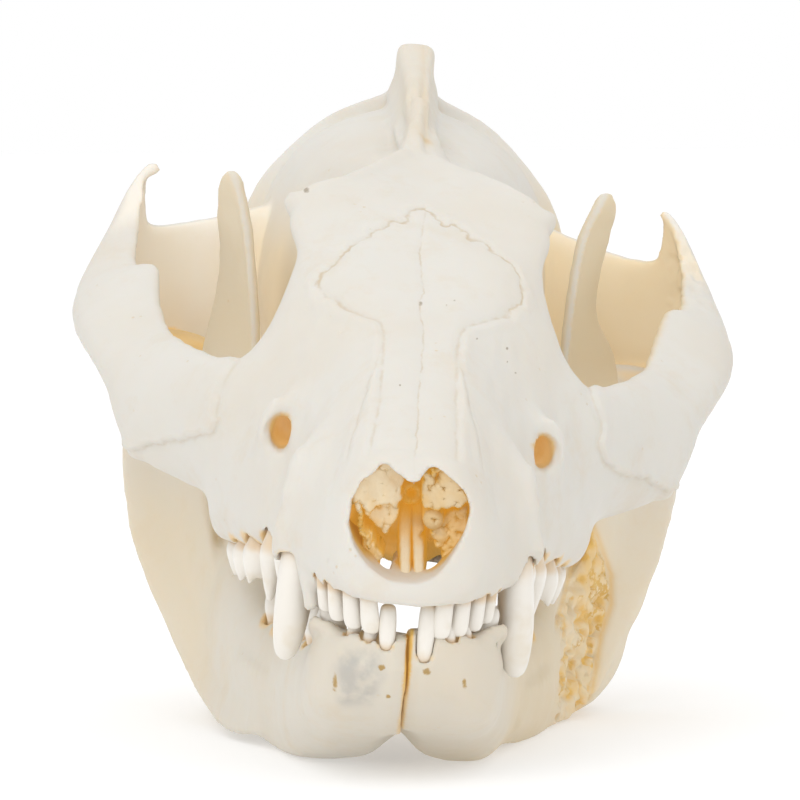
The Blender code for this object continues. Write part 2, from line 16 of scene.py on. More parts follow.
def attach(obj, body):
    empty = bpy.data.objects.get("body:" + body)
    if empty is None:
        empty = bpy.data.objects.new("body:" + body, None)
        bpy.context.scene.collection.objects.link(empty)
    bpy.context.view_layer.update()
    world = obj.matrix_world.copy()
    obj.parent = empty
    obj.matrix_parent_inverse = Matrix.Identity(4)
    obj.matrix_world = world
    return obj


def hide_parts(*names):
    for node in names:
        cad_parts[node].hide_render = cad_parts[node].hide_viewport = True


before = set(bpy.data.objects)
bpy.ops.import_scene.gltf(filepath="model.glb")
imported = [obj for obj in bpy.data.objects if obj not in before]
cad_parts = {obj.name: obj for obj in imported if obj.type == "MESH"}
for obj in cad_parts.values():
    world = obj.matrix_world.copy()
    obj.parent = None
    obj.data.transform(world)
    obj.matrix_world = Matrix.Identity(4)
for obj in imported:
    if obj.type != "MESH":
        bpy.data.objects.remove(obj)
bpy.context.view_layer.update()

# %% [markdown]
# ## Where the pieces lie
#
# A skull is easiest to shape in its own frame: x to the animal's left, y back from the tip of
# the upper jaw and z up from the tooth sockets, all in millimetres. The dry skull lies nose
# down and rolled a little, so one rotation and one shift carry every point to its place. Each
# half of the jaw has such a frame too, with x counted outward, so that both halves can share
# one set of numbers.

# %% Frames of the cranium and of the two jaw halves
MM = 0.001
PITCH = math.radians(8.5)
ROLL = math.radians(5.0)
JAW_ROLL = math.radians(4.5)
CENTRE = np.array([-0.97, -56.8])
PALATE_HEIGHT = 16.4
JAW_OFFSET = -1.2
JAW_STEP = 0.25
JAW_SINK = 0.2
SNOUT_BEND = 0.9
SNOUT_BEND_LENGTH = 30.0

HEAD_TURN = np.array(Matrix.Rotation(PITCH, 3, "X") @ Matrix.Rotation(ROLL, 3, "Y"))
JAW_TURN = np.array(Matrix.Rotation(JAW_ROLL, 3, "Y"))
HEAD_PLACE = np.array([CENTRE[0], CENTRE[1], PALATE_HEIGHT])


def bend(points, sense=1.0):
    """Moves x by 0.9 mm times (1 - y/30) to the power 1.5, and by less near the incisors."""
    bent = points.copy()
    back = np.clip(1 - points[:, 1] / SNOUT_BEND_LENGTH, 0, 1)
    high = np.clip(0.42 + 0.061 * (points[:, 2] + 1), 0.3, 1)
    bent[:, 0] -= sense * SNOUT_BEND * back**1.5 * high
    return bent


def from_head(points):
    """Cranium frame in millimetres to the object's frame in metres."""
    return (bend(points) @ HEAD_TURN.T + HEAD_PLACE) * MM


def to_head(points):
    return bend((points / MM - HEAD_PLACE) @ HEAD_TURN, -1.0)


def jaw_place(side):
    return np.array([CENTRE[0] + JAW_OFFSET, CENTRE[1], side * JAW_STEP - JAW_SINK])


def from_jaw(points, side):
    """Jaw frame, mirrored for the animal's right, to the object's frame in metres."""
    return (points * (side, 1, 1) @ JAW_TURN.T + jaw_place(side)) * MM


def to_jaw(points, side):
    return (points / MM - jaw_place(side)) @ JAW_TURN * (side, 1, 1)


# %% [markdown]
# ## The camera first
#
# The photograph looks almost level at the nose from about 70 cm away, with a long lens and the
# skull turned by one degree. The camera is set before any shape, so that every later step can
# be judged against the photograph.

# %% Camera, seen along +Y
CAMERA_PLACE = (-0.01524, -0.72140, 0.07212)
CAMERA_AZIMUTH = math.radians(1.153)
CAMERA_ELEVATION = math.radians(3.081)
CAMERA_ROLL = math.radians(-0.392)
CAMERA_LENS = 325.6

camera = bpy.data.objects.new("camera", bpy.data.cameras.new("camera"))
bpy.context.scene.collection.objects.link(camera)
aim = Euler((math.pi / 2 - CAMERA_ELEVATION, 0, -CAMERA_AZIMUTH)).to_matrix()
camera.matrix_world = Matrix.LocRotScale(
    Vector(CAMERA_PLACE), aim @ Matrix.Rotation(CAMERA_ROLL, 3, "Z"), None)
camera.data.sensor_width = 36
camera.data.lens = CAMERA_LENS
camera.data.clip_start = 0.05
bpy.context.scene.camera = camera

# %% [markdown]
# ## Curves and skins
#
# Bone has no straight line in it, so a few helpers do most of the work. `smooth` runs a cubic
# curve through measured stations. `ring` closes a smooth curve through a few corner points.
# `loft` joins rings into a closed skin, and `tube`, `plate` and `ball` are lofts along a line.
# Each returns points and faces, so pieces can be collected in one list before the mesh is made.


def turns(count):
    """Equal steps of an angle, once round."""
    return np.linspace(0, 2 * math.pi, count, endpoint=False)


def blunted(wave, power):
    """A cosine or sine to a power below one, its sign kept. It squares a round section off."""
    return np.sign(wave) * np.abs(wave) ** power


def smooth(at, stations, values):
    """Cubic Hermite curve through the values, each slope taken from the two neighbours."""
    stations, values = np.asarray(stations, float), np.asarray(values, float)
    slopes = np.gradient(values, stations, axis=0)
    low = np.clip(np.searchsorted(stations, at, side="right") - 1, 0, len(stations) - 2)
    step = stations[low + 1] - stations[low]
    t = (np.asarray(at) - stations[low]) / step
    shape = (-1,) + (1,) * (values.ndim - 1)
    t, step = t.reshape(shape), step.reshape(shape)
    start = values[low] * (1 + 2 * t) * (1 - t) ** 2 + values[low + 1] * (3 - 2 * t) * t**2
    return start + step * t * (1 - t) * (slopes[low] * (1 - t) - slopes[low + 1] * t)


def line(points, count):
    """Smooth curve through the points, evenly spaced in their number."""
    points = np.asarray(points, float)
    return smooth(np.linspace(0, 1, count), np.linspace(0, 1, len(points)), points)


def ring(corners, count):
    """Closed Catmull-Rom curves. corners is (rings, corners, 2 or 3)."""
    corners = np.asarray(corners, float)
    around = corners.shape[1]
    t = np.arange(count) * around / count
    low = t.astype(int)
    t = (t - low)[None, :, None]
    a, b, c, d = (corners[:, (low + k) % around] for k in (-1, 0, 1, 2))
    return 0.5 * (2 * b + (c - a) * t + (2 * a - 5 * b + 4 * c - d) * t**2
                  + (3 * b - a - 3 * c + d) * t**3)


# %% Closed skins
def loft(rings):
    """Closed skin through equal rings, shaped (rows, around, 3), with a fan at each end."""
    rings = np.asarray(rings, float)
    rows, around = rings.shape[:2]
    row, col = np.meshgrid(np.arange(rows - 1), np.arange(around), indexing="ij")
    here, beside = row * around + col, row * around + (col + 1) % around
    quads = np.stack([here, beside, beside + around, here + around], -1).reshape(-1, 4)
    turn = np.arange(around)
    first = np.stack([(turn + 1) % around, turn, np.full(around, rows * around)], -1)
    end = (rows - 1) * around
    last = np.stack([turn + end, (turn + 1) % around + end, np.full(around, rows * around + 1)], -1)
    points = np.concatenate([rings.reshape(-1, 3), rings[:1].mean(1), rings[-1:].mean(1)])
    return points, quads.tolist() + first.tolist() + last.tolist()


def tube(path, radii, around=20, rows=40):
    """Round bar along a smooth path: cosine and sine of an angle across its direction."""
    path, radii = line(path, rows), line(radii, rows)
    along = np.gradient(path, axis=0)
    along /= np.linalg.norm(along, axis=1)[:, None]
    side = np.cross(along, (0.13, 0.21, 0.97))
    side /= np.linalg.norm(side, axis=1)[:, None]
    over = np.cross(side, along)
    angle = turns(around)[None, :, None]
    return loft(path[:, None] + radii[:, None, None]
                * (np.cos(angle) * side[:, None] + np.sin(angle) * over[:, None]))


def plate(low, middle, high, thick, rows=90, around=40):
    """Bowed plate with round edges: a Bezier arc from the lower to the upper edge."""
    low, middle, high, thick = (line(part, rows) for part in (low, middle, high, thick))
    angle = turns(around)
    v = (0.5 - 0.5 * np.cos(angle))[None, :, None]
    arc = (low[:, None] * (1 - v) ** 2 + high[:, None] * v**2
           + 2 * v * (1 - v) * (2 * middle - 0.5 * (low + high))[:, None])
    across = np.cross(np.gradient(middle, axis=0), high - low)
    across /= np.linalg.norm(across, axis=1)[:, None]
    blunt = blunted(np.sin(angle), 0.7)
    return loft(arc + across[:, None] * (blunt * thick[:, None])[..., None] * 0.5)


def ball(centre, radii, turn=0.0):
    """Ellipsoid turned about z: cosines of height and of the way round, times the radii."""
    up = np.radians(np.linspace(-84, 84, 15))[:, None]
    way = turns(28)[None]
    x, y = np.cos(up) * np.cos(way) * radii[0], np.cos(up) * np.sin(way) * radii[1]
    z = np.sin(up) * np.ones_like(way) * radii[2]
    c, s = math.cos(turn), math.sin(turn)
    return loft(np.stack([x * c - y * s, x * s + y * c, z], -1) + centre)


def mirrored(shape):
    """The same skin on the other side of the middle plane, with its faces turned back."""
    points, faces = shape
    return points * (-1, 1, 1), [face[::-1] for face in faces]


def on_side(shape, side):
    return shape if side > 0 else mirrored(shape)


def both(*shapes):
    """Each skin on the animal's left, and then on its right."""
    return [on_side(shape, side) for shape in shapes for side in (1, -1)]


def upright(at, flat):
    """Skin through flat sections of x and z, one at each y."""
    back = np.broadcast_to(at[:, None], flat.shape[:2])
    return loft(np.stack([flat[..., 0], back, flat[..., 1]], -1))


def even_sections(at, count, top, sides, low):
    """Sections that mirror at x = 0: the top, corner points down one side, the underside."""
    zero = np.zeros_like(at)
    corners = [(zero, top), *sides, (zero, low), *[(-x, z) for x, z in sides[::-1]]]
    return upright(at, ring(np.stack([np.stack(pair, -1) for pair in corners], 1), count))


# %% From skins to objects
def make_object(name, shapes, place):
    """One mesh from a list of skins, carried by place to the object's frame, faces outward."""
    points, faces, start = [], [], 0
    for own, own_faces in shapes:
        own = place(own)
        corners = own[[face[:3] for face in own_faces]]
        if np.linalg.det(corners - own.mean(0)).sum() < 0:
            own_faces = [face[::-1] for face in own_faces]
        points.append(own)
        faces += [[corner + start for corner in face] for face in own_faces]
        start += len(own)
    mesh = bpy.data.meshes.new(name)
    mesh.from_pydata(np.concatenate(points), [], faces)
    mesh.shade_smooth()
    made = bpy.data.objects.new(name, mesh)
    bpy.context.scene.collection.objects.link(made)
    return made


def read(items, field, kind=np.float32, each=3):
    found = np.empty(len(items) * each, kind)
    items.foreach_get(field, found)
    return found.reshape(-1, each)


def points_of(made):
    return read(made.data.vertices, "co").astype(float)


def normals_of(made):
    return read(made.data.vertex_normals, "vector").astype(float)


def set_points(made, points):
    made.data.vertices.foreach_set("co", points.astype(np.float32).ravel())
    made.data.update()


def bake(made):
    """Replaces the mesh by what its modifiers make of it."""
    bpy.context.view_layer.update()
    evaluated = made.evaluated_get(bpy.context.evaluated_depsgraph_get())
    mesh = bpy.data.meshes.new_from_object(evaluated)
    made.modifiers.clear()
    made.data = mesh


def fuse(made, voxel, passes=2):
    """One skin over overlapping solids, then a few rounds of smoothing."""
    skin = made.modifiers.new("skin", "REMESH")
    skin.mode = "VOXEL"
    skin.voxel_size = voxel * MM
    skin.use_smooth_shade = True
    even = made.modifiers.new("even", "SMOOTH")
    even.iterations = passes
    bake(made)


def cut(made, cutter):
    """Takes the cutter's solid away, and the cutter with it."""
    step = made.modifiers.new("cut", "BOOLEAN")
    step.operation = "DIFFERENCE"
    step.solver = "MANIFOLD"
    step.object = cutter
    bake(made)
    bpy.data.objects.remove(cutter)


def thin_out(made, most):
    """Fewer triangles where the surface is flat, down to about the number given."""
    made.data.calc_loop_triangles()
    count = len(made.data.loop_triangles)
    if count > most:
        made.modifiers.new("fewer", "DECIMATE").ratio = most / count
        bake(made)
    made.data.shade_smooth()
    made.data.calc_loop_triangles()
    print(made.name, "has", len(made.data.loop_triangles), "triangles")


# %% [markdown]
# ## Noise and hollows
#
# Old bone is never quite even. Value noise gives that: a random number at each corner of a
# cubic lattice, blended smoothly in between. Stain gathers in hollows, and shade falls in them,
# so hollows get a tint that is partly stain and partly painted shade. A hollow is where a
# point lies below the mean of its surroundings, so a few rounds of averaging find them all.

# %% Noise, hollows and attributes
def noise(points, size, seed=0):
    """Random lattice values blended with t * t * (3 - 2 t); from -1 to 1, size in millimetres."""
    place = np.asarray(points) / size
    cell = np.floor(place).astype(np.int64)
    t = place - cell
    t = t * t * (3 - 2 * t)
    total = 0.0
    for corner in np.ndindex(2, 2, 2):
        at = cell + corner
        mixed = (at[:, 0] * 73856093) ^ (at[:, 1] * 19349663) ^ (at[:, 2] * 83492791) ^ (seed * 9176471)
        mixed = ((mixed ^ (mixed >> 13)) * 1274126177) & 0x7FFFFFFF
        value = ((mixed ^ (mixed >> 15)) & 0xFFFF) / 32767.5 - 1
        total = total + np.prod(np.where(corner, t, 1 - t), axis=1) * value
    return total


def ramp(value, low, high):
    """0 below low, 1 above high, and smooth between."""
    t = np.clip((value - low) / (high - low), 0, 1)
    return t * t * (3 - 2 * t)


def fall(value, low, high):
    """1 below low, 0 above high, and smooth between."""
    return ramp(-value, -high, -low)


def between(value, a, b, c, d):
    """0 up to a, 1 from b to c, and 0 again from d on."""
    return ramp(value, a, b) * fall(value, c, d)


def bump(value, middle, width):
    """A smooth hill: exp(-((value - middle) / width)^2)."""
    return np.exp(-((value - middle) / width) ** 2)


def outline(p, corners):
    """Distance in a plane to a closed line through the corners; negative inside it."""
    corners = np.asarray(corners, float)
    nearest = np.full(len(p), 1e9)
    inside = np.zeros(len(p), bool)
    for (x0, y0), (x1, y1) in zip(corners, np.roll(corners, -1, 0)):
        dx, dy = x1 - x0, y1 - y0
        t = np.clip(((p[:, 0] - x0) * dx + (p[:, 1] - y0) * dy) / (dx * dx + dy * dy), 0, 1)
        nearest = np.minimum(nearest, np.hypot(p[:, 0] - x0 - t * dx, p[:, 1] - y0 - t * dy))
        if dy:
            inside ^= ((y0 > p[:, 1]) != (y1 > p[:, 1])) & (p[:, 0] < x0 + (p[:, 1] - y0) * dx / dy)
    return np.where(inside, -nearest, nearest)


def averaged(made, passes, share=0.5):
    """The points after some rounds in which each moves toward the mean of its neighbours."""
    count = len(made.data.vertices)
    a, b = read(made.data.edges, "vertices", np.int32, 2).T
    near = np.bincount(a, minlength=count) + np.bincount(b, minlength=count)
    mean = points_of(made)
    for _ in range(passes):
        total = np.stack([np.bincount(a, mean[b, k], count) + np.bincount(b, mean[a, k], count)
                          for k in range(3)], 1)
        mean = (1 - share) * mean + share * total / np.maximum(near, 1)[:, None]
    return mean


def hollows(made, passes):
    """Mean of the surroundings less the point, along its normal, in millimetres."""
    return ((averaged(made, passes) - points_of(made)) * normals_of(made)).sum(1) / MM


def hollow_stain_and_shade(made):
    """Narrow pits count fully where 0.14 mm deep, and wide hollows a little less: a tint that is partly
    stain, partly painted shade.
    """
    return 0.8 * ramp(hollows(made, 6), 0.01, 0.14) + 0.7 * ramp(hollows(made, 160), 0.1, 1.2)


def displace(made, normal, depth):
    """Moves each point by its depth in millimetres along its normal."""
    set_points(made, points_of(made) + normal * (depth * MM)[:, None])


def give(made, **numbers):
    """Stores numbers for each point, which a material can read by their names."""
    for name, values in numbers.items():
        layer = made.data.attributes.new(name, "FLOAT", "POINT")
        layer.data.foreach_set("value", np.asarray(values, np.float32))


# %% [markdown]
# ## The body of the cranium
#
# The long body runs from the nose to the back of the braincase. Each row below is one
# cross-section: where it lies, the height of its roof, three corner points of its side, and
# the height of its underside. A smooth curve through those corners makes the ring, and a
# smooth curve through the rows makes all the rings between.

# %% Cross-sections from the nose back
SECTIONS = np.array([
    (0.6, 1.9, 2.0, 1.7, 3.0, 1.3, 2.0, 0.8, 0.6),
    (1.8, 3.9, 3.8, 3.4, 5.6, 2.2, 4.2, 0.8, 0.8),
    (4.4, 12.0, 4.2, 11.2, 7.5, 5.4, 6.8, 0.8, 0.8),
    (8.0, 14.1, 5.2, 13.0, 9.2, 6.4, 8.6, 0.7, 0.9),
    (14.0, 15.6, 5.8, 14.3, 11.4, 5.6, 10.8, 1.2, 1.5),
    (20.0, 17.0, 5.8, 15.7, 11.2, 7.2, 11.0, 0.6, 1.3),
    (27.0, 18.6, 5.8, 17.4, 11.9, 8.0, 12.6, -0.3, 0.8),
    (33.0, 20.0, 6.2, 18.9, 13.9, 9.0, 14.4, -1.7, 0.2),
    (39.0, 21.8, 8.0, 20.4, 16.2, 10.0, 16.0, -3.0, -0.4),
    (44.0, 23.6, 10.0, 22.4, 17.8, 10.5, 17.2, -4.0, -0.8),
    (48.0, 25.2, 11.6, 23.4, 15.2, 10.5, 17.6, -4.5, -1.0),
    (52.0, 26.6, 12.2, 24.8, 9.4, 16.0, 17.0, -4.2, -0.9),
    (57.0, 28.2, 12.8, 26.8, 8.4, 17.0, 14.0, -2.0, -0.2),
    (61.0, 29.2, 11.6, 28.2, 7.8, 17.0, 9.5, 2.0, 1.4),
    (66.0, 30.0, 7.4, 29.0, 6.6, 17.0, 8.0, 4.6, 3.3),
    (72.0, 30.6, 3.4, 29.4, 5.8, 17.5, 7.5, 5.0, 3.2),
    (78.0, 30.2, 3.4, 28.4, 8.0, 18.0, 8.5, 5.0, 3.0),
    (84.0, 29.4, 6.4, 27.2, 11.6, 17.5, 10.0, 5.0, 2.6),
    (90.0, 29.4, 8.6, 26.6, 13.8, 17.0, 12.0, 5.0, 2.4),
    (97.0, 30.2, 10.0, 26.6, 15.0, 17.0, 13.6, 5.0, 2.2),
    (104.0, 30.3, 10.6, 26.2, 15.3, 17.0, 14.2, 5.0, 2.4),
    (109.0, 29.6, 9.8, 25.2, 14.2, 16.0, 12.6, 5.4, 3.4),
    (112.0, 27.5, 7.0, 23.0, 10.5, 14.5, 9.0, 6.0, 4.6),
])


def body_skin():
    at = SECTIONS[0, 0] + np.linspace(0, 1, 220) ** 1.2 * np.ptp(SECTIONS[:, 0])
    roof, xs, zs, xd, zd, xl, zl, floor = smooth(at, SECTIONS[:, 0], SECTIONS[:, 1:]).T
    return even_sections(at, 96, roof, [(xs, zs), (xd, zd), (xl, zl)], floor)


# %% [markdown]
# ## Crest, cheek arches and the rim at the back
#
# An old male grows a tall blade of bone along the top of the braincase, where the chewing
# muscles meet. The cheek arches are plates that bow outward round those muscles, and each ends
# in a thin spike. All of these overlap the body and are fused with it afterwards.

# %% The crest along the top
CREST = np.array([
    (68.0, 29.6, 0.7, 1.6, 29.0),
    (75.5, 31.3, 0.9, 1.8, 29.9),
    (85.0, 33.0, 1.0, 2.1, 29.8),
    (95.0, 34.6, 1.2, 2.3, 29.8),
    (104.0, 35.6, 1.5, 2.5, 30.0),
    (110.5, 36.1, 1.7, 2.6, 30.0),
    (112.4, 34.6, 1.2, 2.4, 29.4),
])


def crest_skin():
    """A blade with steep sides: half widths under its top, then a short spread at its foot."""
    at = np.linspace(CREST[0, 0], CREST[-1, 0], 90)
    top, edge, foot, low = smooth(at, CREST[:, 0], CREST[:, 1:]).T
    sides = [(edge, top - 0.4), (edge + 0.2, 0.5 * (top + low)), (foot, low)]
    return even_sections(at, 48, top, sides, low - 4.0)


# %% Cheek arches: lower edge, outermost line, upper edge and thickness
ARCH_LOW = [
    (15.0, 44.0, -1.0), (20.5, 50.5, -0.2), (25.8, 55.0, 1.2), (27.4, 60.5, 4.0), (29.8, 66.5, 6.8),
    (31.2, 73.0, 7.9), (31.6, 79.0, 8.4), (30.6, 85.0, 8.0), (29.2, 88.4, 6.8), (28.4, 90.2, 6.0),
    (27.6, 91.4, 5.6), (26.0, 92.8, 5.0), (21.5, 95.4, 4.0), (13.0, 98.0, 4.0)]
ARCH_MID = [
    (16.0, 42.0, 7.0), (21.0, 49.0, 6.8), (25.6, 54.5, 6.6), (28.2, 61.0, 8.2), (30.6, 67.5, 10.2),
    (32.1, 74.0, 11.6), (32.2, 80.0, 12.8), (31.2, 85.5, 14.6), (30.2, 88.6, 15.8), (29.6, 90.3, 16.2),
    (28.6, 91.4, 14.5), (27.0, 92.8, 12.6), (22.3, 95.4, 11.5), (13.0, 98.0, 12.0)]
ARCH_HIGH = [
    (13.5, 43.0, 16.0), (18.0, 47.5, 13.6), (21.6, 54.5, 12.6), (23.8, 62.0, 12.8), (25.0, 69.5, 14.4),
    (25.5, 74.6, 17.0), (27.6, 78.6, 16.2), (27.9, 85.0, 19.0), (27.6, 88.8, 22.4), (27.3, 90.8, 25.0),
    (27.4, 91.9, 20.5), (26.6, 92.9, 18.0), (21.9, 96.0, 18.2), (13.0, 98.0, 20.6)]
ARCH_THICK = [6.0, 4.6, 3.2, 2.8, 2.8, 2.8, 2.8, 2.6, 2.2, 1.7, 2.0, 2.6, 3.4, 5.0]
SPIKE_DROP = {-1: 0.3, 1: 0.2}
LEFT_HIGH_MOVE = np.array([(0.9, 1.4, -0.9), (0.5, 0.8, -0.3), (0.7, 0.0, -1.2), (0.4, -0.4, -1.5),
                           (-0.9, -0.3, -0.5), (-0.9, 0.0, 0.2), (-0.6, 0.0, 0.4)])


def arch(side):
    """One cheek arch. The upper edge of the animal's left one is moved to its own line."""
    high = np.array(ARCH_HIGH)
    high[8:10, 2] -= np.array([0.5, 1.0]) * SPIKE_DROP[side]
    if side > 0:
        high[5:12] += LEFT_HIGH_MOVE
    return on_side(plate(ARCH_LOW, ARCH_MID, high, ARCH_THICK, rows=180), side)


# %% The rim round the back, and the small swellings
NUCHAL = [
    (0.0, 111.2, 30.8), (3.8, 110.8, 29.2), (7.2, 109.8, 27.9), (10.2, 108.4, 25.8), (12.4, 106.8, 23.6),
    (14.4, 105.0, 20.8), (15.8, 103.6, 16.6), (16.4, 104.0, 10.0), (15.2, 106.0, 4.0)]
NUCHAL_RADIUS = [1.2, 1.1, 1.0, 1.0, 1.1, 1.3, 1.5, 1.7, 2.0]
CANINE_ROOT = [(10.4, 14.8, 5.6), (9.9, 17.6, 8.8), (9.0, 21.5, 11.4), (8.2, 26.0, 13.2)]
CANINE_COLLAR = {-1: 1.6, 1: 3.6}
NERVE_RIM = [(13.0, 32.0, 6.2), (14.4, 32.6, 8.4), (14.6, 32.8, 10.8), (12.8, 32.6, 13.2)]


def head_skins():
    """Everything that is fused with the body. both() makes a pair of what it's given."""
    roots = [on_side(tube([(10.3, 12.75, collar)] + CANINE_ROOT, [2.55, 2.5, 2.1, 1.5, 0.6]), side)
             for side, collar in CANINE_COLLAR.items()]
    palate_edge = plate([(5.4, 57.0, 1.0), (5.2, 66.0, -1.2), (5.0, 74.0, -2.6)],
                        [(5.6, 57.0, 3.0), (5.6, 66.0, 2.4), (5.4, 74.0, 1.6)],
                        [(5.8, 57.0, 6.0), (6.0, 66.0, 6.0), (6.0, 76.0, 6.0)], [1.3, 1.3, 1.3])
    return [
        body_skin(), crest_skin(), arch(-1), arch(1),
        *both(ball((25.8, 54.6, 2.4), (1.7, 1.9, 1.5)), tube(NUCHAL, NUCHAL_RADIUS, rows=80)),
        *roots,
        ball((-26.8, 90.7, 24.2), (0.85, 0.9, 0.75)),
        ball((26.3, 90.5, 23.5), (0.4, 0.7, 0.5)),
        tube([(-9.7, 11.0, 3.0), (-9.1, 9.4, 0.6), (-8.6, 8.4, -2.2)], [1.1, 1.1, 0.9]),
        *both(tube(NERVE_RIM, [1.3, 1.2, 1.1, 1.3]),
              ball((23.5, 88.5, 5.4), (5.6, 4.0, 2.4), 0.15),
              ball((22.5, 92.0, 4.0), (4.0, 1.6, 3.0)),
              ball((5.6, 112.0, 7.0), (3.0, 3.2, 4.2)),
              ball((9.5, 93.0, 2.8), (3.4, 4.6, 3.0)),
              tube([(14.6, 106.0, 6.0), (14.4, 107.0, 2.0), (14.0, 107.5, -2.0)], [3.0, 2.2, 0.9]),
              palate_edge,
              tube([(10.0, 57.6, 25.6), (12.4, 59.6, 27.0), (13.2, 60.6, 27.8)], [2.2, 1.2, 0.6])),
    ]


# %% [markdown]
# ## Nasal bones
#
# Two long thin bones roof the nose and end in a point that hangs over the opening. Their front
# end is a thin plate of its own. Further back, the relief below draws and lifts their edges.

# %% The roof of the nose: y, height, half width, drop at the edge
NASAL = np.array([
    (3.3, 11.8, 0.6, 0.3),
    (4.4, 12.35, 1.9, 0.5),
    (5.6, 12.9, 2.9, 0.8),
    (7.0, 13.5, 3.7, 1.2),
    (10.0, 14.6, 4.2, 1.6),
])


def nasal_skin():
    """Lens-shaped sections: the width and drop of each row under its own height."""
    at = np.linspace(NASAL[0, 0], NASAL[-1, 0], 50)
    top, half, drop = smooth(at, NASAL[:, 0], NASAL[:, 1:]).T
    angle = turns(40)
    x = half[:, None] * np.cos(angle)
    z = top[:, None] - drop[:, None] * np.cos(angle) ** 2 - 0.45 + 0.45 * np.sin(angle)
    return upright(at, np.stack([x, z], -1))


# %% [markdown]
# ## What is hollow
#
# The nose opens into a deep chamber, a nerve canal leaves each side of the face, and the spinal
# cord left through a round hole at the back. Their solids are fused into one cutter and taken
# away from the head in a single step.

# %% Nasal chamber and canals
OPENING = np.array([
    (-0.15, 11.6), (-1.3, 12.1), (-2.45, 12.85), (-2.95, 13.15), (-3.45, 12.2), (-4.5, 11.5), (-5.3, 9.9),
    (-5.65, 8.5), (-5.6, 7.3), (-5.15, 5.8), (-4.35, 4.6), (-3.2, 3.6), (-1.85, 2.9), (-0.35, 2.8),
    (1.05, 2.85), (2.8, 3.7), (4.1, 5.5), (5.1, 7.3), (5.45, 8.9), (5.05, 10.3), (4.45, 11.3),
    (3.6, 12.1), (2.35, 12.7), (1.85, 13.1), (1.1, 12.6), (0.85, 12.0), (0.65, 11.7)])
CHAMBER_CENTRE = np.array([0.0, 8.2])
CHAMBER_HALF = np.array([5.9, 5.0])
CHAMBER_ROWS = [(-2.0, 0.0), (2.0, 0.0), (5.2, 0.0), (7.0, 0.35), (8.8, 0.9), (11.0, 1.0), (17.0, 1.0),
                (24.0, 0.9)]


def chamber_skin():
    """The measured opening, changing evenly into an ellipse that has the same directions."""
    away = OPENING - CHAMBER_CENTRE
    wide = CHAMBER_CENTRE + away / np.linalg.norm(away / CHAMBER_HALF, axis=1)[:, None]
    at = np.linspace(CHAMBER_ROWS[0][0], CHAMBER_ROWS[-1][0], 80)
    share = np.interp(at, *np.array(CHAMBER_ROWS).T)[:, None, None]
    flat = ring(OPENING * (1 - share) + wide * share, 160)
    x, z = np.moveaxis(flat, -1, 0)
    torn = noise(np.stack([x, 0 * x, z], -1).reshape(-1, 3), 0.8, 33).reshape(x.shape)
    grow = 0.03 * torn * (1 - share[..., 0]) * ramp(z, 5, 9)
    return upright(at, flat + grow[..., None] * (flat - CHAMBER_CENTRE))


def hollow_skins():
    """The chamber, the round hole at the back and, in pairs, canals, gaps and small holes."""
    return [
        chamber_skin(),
        tube([(0, 117.0, 10.6), (0, 108.0, 11.0), (0, 97.0, 12.0)], [4.5, 4.2, 2.6]),
        *both(ball((2.4, 12.0, 2.1), (1.0, 5.6, 2.8)),
              tube([(12.5, 27.0, 10.0), (12.6, 31.0, 10.1), (11.5, 35.4, 10.3)], [1.0, 1.02, 1.0]),
              tube([(12.7, 27.0, 9.0), (12.8, 31.0, 9.1), (11.5, 35.4, 9.3)], [1.0, 1.02, 1.0]),
              tube([(11.7, 34.5, 9.9), (11.2, 38.0, 10.5), (12.4, 43.0, 10.6), (13.0, 50.5, 11.6)],
                   [0.8, 0.9, 1.0, 1.8]),
              ball((3.4, 41.5, -0.4), (1.5, 5.8, 1.9)),
              ball((4.6, 52.0, -0.8), (1.2, 2.2, 1.6)),
              tube([(2.5, 72.0, 1.8), (2.4, 62.0, 2.6), (2.3, 52.0, 4.0), (2.2, 44.0, 5.5)],
                   [2.4, 2.2, 1.9, 1.4]),
              ball((17.4, 48.4, 14.6), (0.7, 1.4, 0.7)),
              ball((15.6, 97.0, 7.6), (2.2, 1.4, 1.4)),
              ball((8.0, 101.0, 1.8), (1.3, 1.0, 1.4)),
              ball((8.9, 73.0, 9.0), (1.6, 1.5, 1.0))),
        ball((-11.4, 59.8, 28.9), (0.35, 0.35, 0.9)),
    ]


# %% [markdown]
# ## Teeth as rings
#
# A tooth is drawn as rings from the root tip to the crown. A flat-topped molar gets cusps: each
# cusp is a small rounded hill, a Gaussian of the distance from its own point. The same rings,
# grown a little, cut the socket.

# %% The upper teeth of one side: name, kind, x, y, rim, tip, half width, half length
UPPER_TEETH = [
    ("incisor_2", "blade", 3.55, 2.8, 0.7, -2.6, 0.88, 0.60),
    ("incisor_3", "blade", 5.2, 3.8, 0.7, -2.5, 0.84, 0.60),
    ("incisor_4", "blade", 6.65, 5.2, 0.6, -2.2, 0.78, 0.62),
    ("incisor_5", "blade", 7.75, 7.0, 0.4, -1.8, 0.68, 0.72),
    ("canine", "fang", 10.2, 12.8, 2.4, -8.1, 1.74, 2.00),
    ("premolar_1", "cone", 10.6, 17.8, 0.8, -1.2, 0.70, 1.00),
    ("premolar_2", "cone", 11.4, 22.4, 0.1, -3.8, 1.10, 2.00),
    ("premolar_3", "cone", 12.5, 27.8, -0.9, -6.0, 1.30, 2.30),
    ("molar_1", "molar", 13.4, 33.8, -2.2, -5.2, 1.95, 2.55),
    ("molar_2", "molar", 14.0, 39.4, -3.5, -6.3, 2.25, 2.60),
    ("molar_3", "molar", 14.4, 45.0, -4.3, -7.1, 2.35, 2.55),
    ("molar_4", "molar", 14.3, 49.6, -4.5, -7.0, 2.15, 1.60),
]

